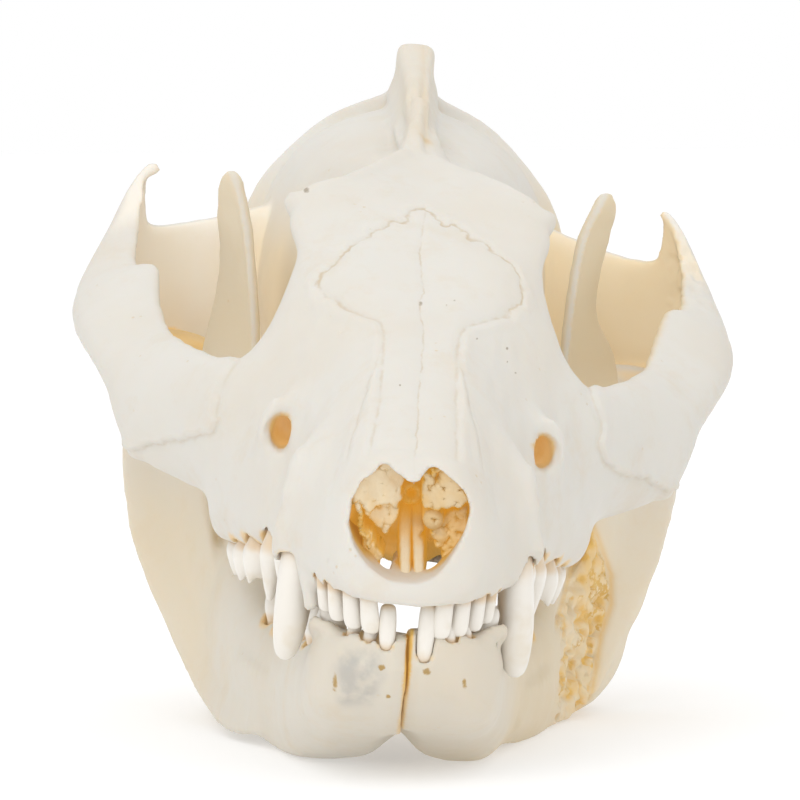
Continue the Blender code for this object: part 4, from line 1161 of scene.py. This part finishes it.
def build_jaw(side):
    """One half: fused, sunk along the chin, cut by the table, the seam and the sockets."""
    def place(points):
        return from_jaw(points, side)

    made = make_object("bone_of_jaw_" + ("left" if side > 0 else "right"), jaw_skins(side), place)
    fuse(made, COARSE, 3)
    normal = normals_of(made)
    x, y, z = to_jaw(points_of(made), side).T
    sunk = 0.55 * bump(x, 0.1, 0.9) * fall(z, 13.5, 15) + 0.35 * bump(x, 3.1, 1.6) * ramp(z, 4, 7)
    displace(made, normal, -sunk * ramp(-normal[:, 1], 0.1, 0.5) * fall(y, 22, 30))
    cut(made, make_object("table", [table_block()], lambda points: points * MM))
    cut(made, make_object("seam", [seam_block(side)], place))
    holes = [socket(row) for row in lower_rows(side)]
    holes += [ball(hole[:3], (hole[3], 1.6, hole[4])) for hole in CHIN_HOLES[side]]
    holes = make_object("sockets", holes, place)
    fuse(holes, SOCKET_VOXEL, 1)
    cut(made, holes)
    fuse(made, FINE, 2)
    p = to_jaw(points_of(made), side)
    normal = normals_of(made)
    depth = 0.06 * noise(p, 4.0, 11) + 0.03 * noise(p, 1.3, 12)
    depth -= 0.35 * ramp(normal[:, 0] * side, 0.3, 0.8) * between(p[:, 2], 24, 30, 51, 54)
    if side > 0:
        q = p * (1, 0.5, 1)
        torn = 0.5 * noise(q, 2.4, 21) + 0.5 * noise(q, 1.0, 22) + 0.25 * noise(q, 0.6, 25)
        depth += rough_patch(p) * (torn - 0.9 * pitted(p))
        depth -= 0.6 * bump(outline(p[:, ::2], ROUGH), 0, 0.4) * ramp(p[:, 1], 54, 60)
    depth *= ramp(points_of(made)[:, 2] / MM, 0.05, 0.6)
    displace(made, normal, depth)
    thin_out(made, JAW_TRIANGLES)
    return made


GREY = [(5.8, 12.6), (3.2, 12.8), (2.6, 10.9), (3.4, 8.4), (5.6, 8.0), (6.4, 10.4)]


def mark_jaw(made, side):
    """The same numbers as for the cranium, painted shade and painted light among them, and the grey stained
    area and the crumbled patch.
    """
    p = to_jaw(points_of(made), side)
    normal = normals_of(made)
    x, y, z = p.T
    outward = normal[:, 0] * side
    sockets = necks(p, lower_rows(side))
    # The walls of the chin seam are tan, partly stain and partly painted shade.
    tan = fall(x, 0.25, 0.42) * fall(y, 24, 32) * (0.6 + 0.4 * ramp(z, 7, 12))
    tan = np.maximum(tan, 0.65 * sockets)
    # Painted shade: a warm tint on the low back, on faces turned inward and on the upper outer face of the
    # blade.
    warm = np.max([0.45 * ramp(y, 55, 72) * fall(z, 16, 26),
                   0.7 * ramp(-outward, 0.2, 0.7) * ramp(y, 20, 40),
                   (1.0 if side > 0 else 0.65) * ramp(outward, 0.35, 0.65) * ramp(z, 22, 30)], 0)
    rough = rough_patch(p)
    if side > 0:
        q = p * (1, 0.5, 1)
        golden = 0.20 + 0.3 * ramp(z, 12, 17) + 0.4 * noise(q, 2.8, 51) + 0.35 * noise(q, 0.9, 52)
        # The edge of the patch is a tan line as painted shade, and its holes get a deeper tan, partly painted
        # shade.
        edge = bump(outline(p[:, ::2], ROUGH), 0, 0.3) * ramp(y, 56, 60)
        tan = np.max([tan, rough * np.clip(golden + 1.1 * pitted(p), 0.06, 1), 0.6 * edge], 0)
        # Painted shade: a warm tint along the lower side of the left half.
        low_side = (0.7 - 0.35 * ramp(y, 72, 80)) * ramp(y, 16, 36) * fall(z, 20, 26)
        warm = np.max([warm, 0.9 * rough, low_side], 0)
    tan = np.clip(tan, 0, 1)
    # Painted light: tan places, the sockets and the forward-facing parts at the back get emitted light, more
    # at the back of the left half.
    far = ramp(y, 40, 70) * ramp(-normal[:, 1], 0.0, 0.5) * fall(z, 24, 32)
    grey = fall(outline(p[:, ::2], GREY), -0.5, 1.2) * fall(y, 9, 12)
    give(made, hollow=hollow_stain_and_shade(made), warm=np.clip(warm, 0, 1), tan=tan,
         glow=0.2 * tan + 0.06 * sockets + (0.11 if side > 0 else 0.05) * far,
         grey=grey * (side < 0), crumbled=rough * ramp(normal[:, 0], -0.2, 0.2) * (side > 0))


jaws = {side: build_jaw(side) for side in (-1, 1)}
for side, made in jaws.items():
    mark_jaw(made, side)

# %% Teeth as their own pieces
def mark_tooth(made, jaw, row, side):
    """Tan near the rim of the socket, and on an upper canine also down the side toward the middle, which is
    painted shade.
    """
    p = to_head(points_of(made)) if jaw == "upper" else to_jaw(points_of(made), side)
    kind, rim, tip = row[1], row[4], row[5]
    along = (p[:, 2] - rim) / (tip - rim)
    root = 0.55 * fall(along, -0.15, 0.12) + 0.1
    if kind == "fang" and jaw == "upper":
        # Painted shade: the side of the canine that faces the middle is painted brown-tan.
        inner = ramp(-(normals_of(made) @ HEAD_TURN)[:, 0] * side, 0.4, 0.95)
        root = np.maximum(root, 0.8 * inner * fall(along, 0.25, 0.75))
    if kind == "peg":
        root = np.maximum(root, 0.7 * ramp(along, 0.78, 1.0))
    give(made, root=root)


def place_tooth(jaw, row, side):
    name = f"{jaw}_{row[0]}_" + ("left" if side > 0 else "right")
    if jaw == "upper":
        made = make_object("tooth_" + name, [on_side(tooth(row), side)], from_head)
    else:
        made = make_object("tooth_" + name, [tooth(row)], lambda points: from_jaw(points, side))
    mark_tooth(made, jaw, row, side)
    return made, name


teeth = [place_tooth(jaw, row, side) for side in (-1, 1)
         for jaw, rows in (("upper", UPPER_TEETH), ("lower", lower_rows(side))) for row in rows]
print(len(teeth), "teeth")

# %% [markdown]
# ## Scrolls inside the nose
#
# Paper-thin bones fill the nose. They are broken and ragged at the front, and behind them the
# light only reaches an orange, uneven back. Seen through the opening they are one stepped
# surface: its depth is worked out for each place across the opening, and the outline of each
# broken scroll, moved by noise, brings the surface forward. The floor has two openings.

# %% Depth of the stepped surface. Each plate: its front, slant, tint, sponginess and outline
PLATES = [
    (6.2, 0.5, 0.0, 0.10, [
        (-5.43, 8.19), (-5.3, 10.4), (-4.55, 11.6), (-3.3, 12.6), (-2.8, 13.2), (-2.01, 12.4),
        (-1.15, 11.4), (-1.05, 9.3), (-1.34, 8.32), (-1.95, 8.94), (-2.48, 8.52), (-3.14, 8.65),
        (-3.66, 8.14), (-3.97, 7.44), (-4.32, 8.27), (-4.94, 8.9)]),
    (8.6, 0.1, 0.18, 0.15, [
        (-3.83, 7.6), (-3.04, 8.4), (-2.12, 8.9), (-1.34, 9.2), (-1.04, 9.82), (-1.23, 7.7),
        (-1.73, 6.9), (-2.11, 5.91), (-2.24, 5.23), (-2.78, 6.05), (-3.27, 6.39)]),
    (6.6, 0.0, 0.10, 0.10, [
        (-5.15, 9.2), (-4.75, 7.7), (-4.45, 6.29), (-4.0, 4.4), (-3.75, 4.5), (-4.15, 6.3),
        (-4.4, 7.7), (-4.8, 9.2)]),
    (7.8, 0.0, 0.40, 0.25, [
        (-4.47, 6.42), (-3.78, 6.0), (-3.11, 4.61), (-2.46, 3.61), (-2.66, 2.2), (-3.6, 2.6), (-4.4, 4.0)]),
    (6.4, -0.25, 0.50, 0.12, [
        (1.23, 8.71), (1.0, 10.41), (1.16, 12.2), (2.43, 13.2), (3.9, 12.2), (5.2, 10.4), (4.6, 9.26),
        (3.34, 9.17), (2.35, 8.8)]),
    (7.8, 0.0, 0.50, 0.25, [
        (2.37, 6.19), (2.65, 7.27), (3.52, 8.3), (5.2, 8.6), (5.4, 6.7), (4.8, 5.0), (4.2, 4.0),
        (3.62, 3.3), (3.14, 3.67), (3.43, 4.65), (2.65, 5.07)]),
]
RIDGES = [(-0.56, 7.9, -0.21, 2.3), (0.64, 8.0, 1.09, 2.3)]
LUMP = (2.15, 7.71, 0.95)
PORES = [(3.42, 7.04, 0.34), (4.29, 7.78, 0.26), (3.63, 5.62, 0.30), (2.2, 7.75, 0.25), (4.6, 6.4, 0.3),
         (2.3, 11.9, 0.5), (2.9, 10.6, 0.14), (1.47, 5.24, 0.45), (4.1, 9.9, 0.12)]
GAPS = [[(-2.8, 0.9), (-2.8, 2.0), (-2.2, 2.3), (-1.3, 1.8), (-1.2, 0.9)],
        [(1.8, 0.9), (1.9, 1.2), (2.6, 1.5), (3.3, 1.4), (3.2, 0.9)]]


def mix(a, b, share):
    return a * (1 - share) + share * b


def nose_depth(q):
    """Depth behind the tip, and how orange the place is, for places (x, z) across the opening. The orange is
    partly stain and partly painted shade, strongest deep inside and in the pores.
    """
    u, v = q.T
    p = np.stack([u, 0 * u, v], 1)
    ragged = wander(wander(p, 0.14, 0.22, 81), 0, 0.2, 86)[:, ::2]
    depth = 13.2 + 0.8 * noise(p, 2.4, 91) + 0.3 * noise(p, 0.9, 92) - 4.6 * ramp(np.abs(u), 3.6, 6.0)
    orange = 0.75 + 0.2 * noise(p, 1.5, 93)
    for x0, z0, x1, z1 in RIDGES:
        t = np.clip((v - z1) / (z0 - z1), 0, 1)
        away = np.abs(u - (x1 + (x0 - x1) * t)) / 0.62
        share = ramp(1 - away, 0.0, 0.6) * ramp(z0 + 0.8 - v, 0, 0.8)
        depth = mix(depth, np.minimum(depth, 5.4 + 7.0 * t), share)
        orange = mix(orange, np.clip(1.5 * t - 0.55, 0, 0.9), share)
    depth -= 1.6 * bump(np.hypot(u + 0.05, v - 9.1), 0.72, 0.28)
    for front, slant, tint, spongy, corners in PLATES:
        share = fall(outline(ragged, corners), -0.10, 0.04)
        level = front + slant * (u - corners[0][0]) + 0.25 * noise(p, 1.6, 94)
        holes = ramp(noise(p, 0.5, 97) + 0.3 * noise(p, 0.3, 99), 0.5, 0.75)
        level += spongy * (0.5 * noise(p, 0.5, 95) + 1.2 * noise(p, 1.2, 98) + 2.2 * holes)
        depth = mix(depth, np.minimum(depth, level), share)
        orange = mix(orange, tint + 0.14 * noise(p, 1.2, 96) + 1.6 * spongy * holes, share)
    x, z, radius = LUMP
    near = np.hypot(u - x, v - z) / radius
    share = ramp(1 - near, 0.0, 0.15)
    depth = mix(depth, 7.6 - 0.9 * np.sqrt(np.clip(1 - near**2, 0, 1)), share)
    orange = mix(orange, 0.5, share)
    for x, z, radius in PORES:
        pore = np.exp(-(np.hypot(ragged[:, 0] - x, ragged[:, 1] - z) / radius) ** 4)
        depth += 1.8 * pore
        orange = np.maximum(orange, pore)
    return depth, np.clip(orange, 0, 1)


# %% The surface itself
STEP = 0.07
WALL = 0.2
ORANGE_PAINTED_LIGHT = 1.05
across = np.arange(-6.3, 6.3, STEP)
upward = np.arange(1.2, 13.6, STEP)
place = np.stack(np.meshgrid(across, upward), -1).reshape(-1, 2)
x, z = place.T
deep, orange = nose_depth(place)
rise = np.gradient(deep.reshape(len(upward), len(across)), STEP)
# The steep walls between steps are found here and painted orange, as painted shade.
torn_edge = ramp(np.hypot(*rise).ravel(), 5.0, 11.0)
# Painted light: side_light and lift scale the emitted light, strong on the left plates in shade and weak on
# the right ones; orange places and steep walls get a fixed amount.
side_light = np.interp(x, [-3.0, -0.5, 1.2, 4.0], [1.5, 1.1, 0.5, 0.25])
side_light += 0.7 * ramp(x, 2.4, 4.0) * fall(z, 8.2, 9.2)
side_light = np.maximum(side_light, 1.1 * fall(z, 5.8, 6.8))
lift = ORANGE_PAINTED_LIGHT + (side_light - ORANGE_PAINTED_LIGHT) * fall(orange, 0.6, 0.8) * (1 - torn_edge)
here = (np.arange(len(upward) - 1)[:, None] * len(across) + np.arange(len(across) - 1)).ravel()
centre = place[here] + 0.5 * STEP
keep = outline(centre, OPENING) < 0.75
for gap in GAPS:
    keep &= outline(centre, gap) > 0
here = here[keep]
quads = np.stack([here, here + 1, here + len(across) + 1, here + len(across)], 1).tolist()
scrolls = make_object("nose_scrolls", [(np.stack([x, deep, z], 1), quads)], from_head)
give(scrolls, orange=np.maximum(orange, 0.85 * torn_edge), lift=lift)
wall = scrolls.modifiers.new("wall", "SOLIDIFY")
wall.thickness = WALL * MM
wall.offset = 1

# %% [markdown]
# ## Materials
#
# Cleaned bone is nearly white and dry, warmer where fat and soil have stayed: in seams, pits,
# sockets and the inside of the nose. In recesses and on faces turned from the light that warmth
# is also painted shade, and an emission there is painted light. One node group works out that
# colour, the roughness and the grain for the cranium and the jaw, and each material gives it its
# own tints.

# %% A small helper for node trees
class Tree:
    """Adds nodes to a tree and links them, so a material reads as a list of steps."""

    def __init__(self, tree):
        self.tree = tree

    def feed(self, node, **inputs):
        """Sets or links inputs. A space in a name is written _, and _0 means the first input."""
        for name, value in inputs.items():
            socket = node.inputs[int(name[1:])] if name[0] == "_" else node.inputs[name.replace("_", " ")]
            if isinstance(value, bpy.types.NodeSocket):
                self.tree.links.new(value, socket)
            else:
                socket.default_value = value
        return node

    def add(self, kind, settings=None, **inputs):
        node = self.tree.nodes.new(kind if kind.startswith("NodeGroup") else "ShaderNode" + kind)
        for name, value in (settings or {}).items():
            setattr(node, name, value)
        return self.feed(node, **inputs)

    def math(self, what, a, b=0.0, clamp=False):
        return self.add("Math", {"operation": what, "use_clamp": clamp}, _0=a, _1=b).outputs[0]

    def times(self, a, b, clamp=False):
        return self.math("MULTIPLY", a, b, clamp)

    def most(self, a, b):
        return self.math("MAXIMUM", a, b)

    def blend(self, factor, a, b, how="MIX"):
        return self.add("Mix", {"data_type": "RGBA", "blend_type": how}, _0=factor, _6=a, _7=b).outputs[2]

    def band(self, value, low, high):
        """0 at low, 1 at high, smooth between, either way round."""
        return self.add("MapRange", {"interpolation_type": "SMOOTHSTEP"},
                        _0=value, _1=low, _2=high).outputs[0]

    def attribute(self, name):
        return self.add("Attribute", {"attribute_name": name}).outputs["Fac"]

    def where(self):
        return self.add("TexCoord").outputs["Object"]

    def cloud(self, where, scale, detail=2.0, rough=0.5):
        return self.add("TexNoise", None, Vector=where, Scale=scale, Detail=detail,
                        Roughness=rough).outputs["Fac"]

    def grain(self, height, strength, distance):
        return self.add("Bump", None, Height=height, Strength=strength, Distance=distance).outputs["Normal"]


def new_group(name, inputs, outputs):
    """A node group whose sockets are given as kinds with their names."""
    group = bpy.data.node_groups.new(name, "ShaderNodeTree")
    for in_out, sockets in (("INPUT", inputs), ("OUTPUT", outputs)):
        for kind, names in sockets.items():
            for socket in names.split():
                group.interface.new_socket(socket, in_out=in_out, socket_type="NodeSocket" + kind)
    t = Tree(group)
    return group, t, t.add("NodeGroupInput").outputs


# %% The shared group: colour, painted light, roughness and relief of dry bone
# DEEP_TAN and WARM_BONE serve as stain and, in recesses and on faces turned from the light, as painted shade;
# DARK_HOLE is painted shade inside holes.
DEEP_TAN = (0.61, 0.385, 0.105, 1)
SEAM_TAN = (0.52, 0.39, 0.22, 1)
WARM_BONE = (0.72, 0.59, 0.385, 1)
GREY_STAIN = (0.50, 0.475, 0.425, 1)
DARK_HOLE = (0.10, 0.07, 0.04, 1)
BLACK = (0, 0, 0, 1)


def bone_group():
    """Own noises decide how much of each tint shows, and how rough and grainy the bone is. The hollow, warm
    and tan tints are partly painted shade, Dark is painted shade, and Light sets how much painted light is
    emitted.
    """
    group, t, given = new_group(
        "dry_bone", {"Color": "Bone Cream", "Float": "Hollow Warm Tan Dark Grey Seams Light"},
        {"Color": "Color Glow", "Float": "Roughness Height"})
    where = t.where()

    def cloud(scale, detail=4.0, rough=0.55):
        return t.cloud(where, scale, detail, rough)

    broad, middle, fine = cloud(55), cloud(260), cloud(1500, 3.0)
    cells = t.add("TexVoronoi", {"feature": "F1"}, Vector=where, Scale=900.0, Randomness=1.0)
    pores = t.times(t.band(cells.outputs["Distance"], 0.20, 0.08), t.band(middle, 0.60, 0.70))
    cream = t.times(t.band(broad, 0.38, 0.68), 0.55)
    cream = t.most(cream, t.times(t.band(cloud(150, 8.0, 0.7), 0.46, 0.70), 0.7))
    # Painted shade and stain: hollows turn cream.
    cream = t.most(cream, t.times(given["Hollow"], 0.8))
    colour = t.blend(cream, given["Bone"], given["Cream"])
    warm = t.times(given["Warm"], t.math("ADD", 0.55, t.times(broad, 0.7)), clamp=True)
    colour = t.blend(warm, colour, WARM_BONE)
    colour = t.blend(t.times(given["Grey"], t.band(cloud(420), 0.25, 0.62)), colour, GREY_STAIN)
    lines = t.times(given["Seams"], t.band(cloud(500), 0.30, 0.62))
    colour = t.blend(t.times(lines, 1.4, clamp=True), colour, SEAM_TAN)
    tan = t.times(given["Tan"], t.math("ADD", 0.65, t.times(middle, 0.7)), clamp=True)
    colour = t.blend(t.most(tan, t.times(pores, 0.3)), colour, DEEP_TAN)
    # Painted shade: the inside of holes is painted dark.
    colour = t.blend(given["Dark"], colour, DARK_HOLE)
    rough = t.math("ADD", 0.40, t.times(middle, 0.25))
    height = t.math("ADD", t.times(fine, 0.2), t.times(middle, 0.8))
    height = t.math("SUBTRACT", height, t.math("ADD", pores, given["Seams"]))
    # Painted light: the Light input emits the bone's own colour.
    t.add("NodeGroupOutput", None, Color=colour, Glow=t.blend(given["Light"], BLACK, colour),
          Roughness=rough, Height=height)
    return group


def spot_group():
    """Length of (position - centre) / size, with a little noise added, as a soft-edged mask."""
    group, t, given = new_group("spot", {"Vector": "Position Centre Size"}, {"Float": "Mask"})
    away = given["Position"]
    for step, by in (("SUBTRACT", given["Centre"]), ("DIVIDE", given["Size"])):
        away = t.add("VectorMath", {"operation": step}, _0=away, _1=by).outputs[0]
    away = t.add("VectorMath", {"operation": "LENGTH"}, _0=away).outputs["Value"]
    torn = t.math("SUBTRACT", t.cloud(given["Position"], 2600.0), 0.5)
    away = t.math("ADD", away, t.times(torn, 1.1))
    t.add("NodeGroupOutput", None, Mask=t.band(away, 1.15, 0.55))
    return group


DRY_BONE = bone_group()
SPOT = spot_group()
# Spots at small holes: centre, size, tan (partly stain, partly painted shade) and dark, which is painted
# shade inside the hole.
HEAD_DOTS = [
    (3.3, 42.6, 21.9, 0.16), (2.5, 41.4, 21.6, 0.13), (0.0, 40.4, 21.7, 0.22), (8.6, 36.9, 18.6, 0.13),
    (5.5, 35.6, 19.6, 0.11), (-1.9, 21.9, 17.2, 0.10), (-11.5, 60.2, 28.5, 0.32), (8.6, 33.3, 17.9, 0.12),
    (9.5, 32.6, 17.0, 0.16)]
HEAD_SPOTS = [(from_head(np.array([(x, y, z)]))[0], (r * MM, 3 * MM, r * MM), 0.2, 0.5)
              for x, y, z, r in HEAD_DOTS]
JAW_SPOTS = [(from_jaw(np.array([hole[:3]]), side)[0], (hole[3] * MM, 4 * MM, hole[4] * MM), 0.9, 0.35)
             for side in (-1, 1) for hole in CHIN_HOLES[side]]
JAW_SPOTS += [(from_jaw(np.array([(x, 76.0, z)]), 1)[0], (0.8 * r * MM, 12 * MM, r * MM), 1.0, 0.08)
              for x, z, r in PITS]
SEAM_WIDTHS = {"mid": 0.17, "nasal": 0.28, "side": 0.22}


# %% Bone materials
def new_material(name):
    made = bpy.data.materials.new(name)
    made.use_nodes = True
    return made, Tree(made.node_tree), made.node_tree.nodes["Principled BSDF"]


def seam_lines(t, where):
    """Thin lines where a seam's distance passes through zero, as strong as the seam shows."""
    shift = t.times(t.math("SUBTRACT", t.cloud(where, 1800.0), 0.5), 0.25)
    lines = 0.0
    for seam, width in SEAM_WIDTHS.items():
        away = t.math("ABSOLUTE", t.math("ADD", t.attribute("seam_" + seam), shift))
        lines = t.most(t.times(t.band(away, width, 0.0), t.attribute("show_" + seam)), lines)
    return lines


def crack_lines(t, where):
    """Fine cracks, where a noise passes through its middle, in patches of the crumbled bone."""
    ragged = t.math("SUBTRACT", t.cloud(where, 240.0, 5.0, 0.6), 0.5)
    patches = t.band(t.cloud(where, 170.0), 0.42, 0.55)
    cracks = t.times(t.band(t.math("ABSOLUTE", ragged), 0.034, 0.010), patches)
    return t.times(cracks, t.attribute("crumbled"))


def bone_material(name, bone, cream, spots, has_seams=False):
    """The cranium has seams. The jaw has crumbled cracks and a grey stained area instead."""
    made, t, shader = new_material(name)
    where = t.where()
    tan, dark, grey, lines = t.attribute("tan"), 0.0, 0.0, 0.0
    if has_seams:
        lines = seam_lines(t, where)
    else:
        cracks = crack_lines(t, where)
        tan, dark, grey = t.most(tan, cracks), t.times(cracks, 0.05), t.attribute("grey")
    # Painted shade: each spot darkens its hole, with a tan ring round it.
    for centre, size, stain_and_shade, shadow in spots:
        mask = t.add("Group", {"node_tree": SPOT}, Position=where, Centre=tuple(centre), Size=size).outputs[0]
        tan = t.most(tan, t.times(mask, stain_and_shade))
        dark = t.most(t.times(mask, shadow), dark)
    mixed = t.add("Group", {"node_tree": DRY_BONE}, Bone=bone, Cream=cream, Hollow=t.attribute("hollow"),
                  Warm=t.attribute("warm"), Tan=tan, Dark=dark, Grey=grey, Seams=lines,
                  Light=t.attribute("glow")).outputs
    t.feed(shader, Base_Color=mixed["Color"], Normal=t.grain(mixed["Height"], 0.4, 0.00012),
           Roughness=mixed["Roughness"], Emission_Color=mixed["Glow"], Emission_Strength=1.0,
           Subsurface_Weight=0.2, Subsurface_Radius=(1.0, 0.6, 0.35), Subsurface_Scale=0.001,
           Specular_IOR_Level=0.35)
    return made


head_bone = bone_material("head_bone", (0.69, 0.665, 0.61, 1), (0.67, 0.61, 0.515, 1), HEAD_SPOTS, True)
jaw_bone = bone_material("jaw_bone", (0.68, 0.635, 0.55, 1), (0.67, 0.585, 0.455, 1), JAW_SPOTS)


# %% Scroll bone and enamel
def scroll_material():
    """Pale where broken and orange where stained and in shade, the orange being partly painted shade; an
    emission is painted light for the light that bounces inside.
    """
    made, t, shader = new_material("scroll_bone")
    blotch = t.cloud(t.where(), 700.0, 4.0)
    shift = t.times(t.math("SUBTRACT", blotch, 0.5), 0.5)
    stain_and_shade = t.math("ADD", t.attribute("orange"), shift, clamp=True)
    colour = t.blend(stain_and_shade, (0.72, 0.63, 0.47, 1), (0.56, 0.33, 0.07, 1))
    glow = t.blend(stain_and_shade, (0.10, 0.08, 0.045, 1), (0.27, 0.145, 0.012, 1))
    lift = t.attribute("lift")
    lift = t.add("CombineXYZ", None, X=lift, Y=lift, Z=lift).outputs[0]
    t.feed(shader, Base_Color=colour, Normal=t.grain(blotch, 0.5, 0.0003), Roughness=0.5,
           Emission_Color=t.blend(1.0, glow, lift, "MULTIPLY"), Emission_Strength=1.0)
    return made


def enamel_material():
    """White with cloudy cream patches, and tan where the number called root is high; on the upper canines
    part of that tan is painted shade.
    """
    made, t, shader = new_material("tooth_enamel")
    cloudy = t.cloud(t.where(), 350.0, 3.0)
    colour = t.blend(t.band(cloudy, 0.5, 0.8), (0.84, 0.82, 0.77, 1), (0.78, 0.73, 0.63, 1))
    colour = t.blend(t.attribute("root"), colour, (0.66, 0.44, 0.20, 1))
    t.feed(shader, Base_Color=colour, Normal=t.grain(cloudy, 0.15, 0.0001), Roughness=0.28, Coat_Weight=0.25)
    return made


scroll_bone = scroll_material()
enamel = enamel_material()

# %% Put the materials on, attach each piece to the root body and hide the imported part it replaces
pieces = [(head, head_bone, "cranium", "bone"), (scrolls, scroll_bone, "cranium", "bone"),
          (jaws[-1], jaw_bone, "dentary_right", "jaw_bone"), (jaws[1], jaw_bone, "dentary_left", "jaw_bone")]
pieces += [(made, enamel, node, "enamel") for made, node in teeth]
for made, paint, node, slot in pieces:
    made.data.materials.clear()
    made.data.materials.append(paint)
    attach(made, "root")
    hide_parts(node)

# %% [markdown]
# ## Floor and light
#
# The photograph is a bright product picture: a white ground, a broad soft light from above the
# camera, and only a faint shadow that hugs the jaw.

# %% Floor, sky and lamps
SKY_LOW = 0.74
SKY_HIGH = 1.04
FLOOR_GLOW = 0.35
FLOOR = 3.0
WHITE = (1, 1, 1, 1)

floor_mesh = bpy.data.meshes.new("floor")
floor_mesh.from_pydata([(-FLOOR, -FLOOR, 0), (FLOOR, -FLOOR, 0), (FLOOR, FLOOR, 0), (-FLOOR, FLOOR, 0)], [],
                       [(0, 1, 2, 3)])
floor = bpy.data.objects.new("floor", floor_mesh)
bpy.context.scene.collection.objects.link(floor)
floor_paint, paint, shader = new_material("pale_floor")
paint.feed(shader, Base_Color=(0.68, 0.68, 0.68, 1), Roughness=0.9, Specular_IOR_Level=0.1,
           Emission_Color=WHITE, Emission_Strength=FLOOR_GLOW)
floor_mesh.materials.append(floor_paint)

world = bpy.data.worlds.new("soft_sky")
world.use_nodes = True
sky = Tree(world.node_tree)
up = sky.add("SeparateXYZ", None, Vector=sky.add("TexCoord").outputs["Generated"]).outputs["Z"]
shade = sky.add("MapRange", None, _0=up, _1=0.0, _2=0.9, _3=SKY_LOW, _4=SKY_HIGH).outputs[0]
seen = sky.add("LightPath").outputs["Is Camera Ray"]
strength = sky.math("ADD", sky.times(shade, sky.math("SUBTRACT", 1.0, seen)), seen)
sky.feed(world.node_tree.nodes["Background"], Color=WHITE, Strength=strength)
bpy.context.scene.world = world


def lamp(name, place, size, power):
    light = bpy.data.lights.new(name, "AREA")
    light.energy = power
    light.size = size
    made = bpy.data.objects.new(name, light)
    bpy.context.scene.collection.objects.link(made)
    made.location = place
    made.rotation_euler = (Vector((0, 0, 0.03)) - Vector(place)).to_track_quat("-Z", "Y").to_euler()


lamp("key", (-0.20, -0.64, 0.46), 0.6, 1.5)
lamp("top", (0.0, 0.05, 0.95), 1.2, 1.0)
bpy.context.scene.view_settings.view_transform = "Standard"
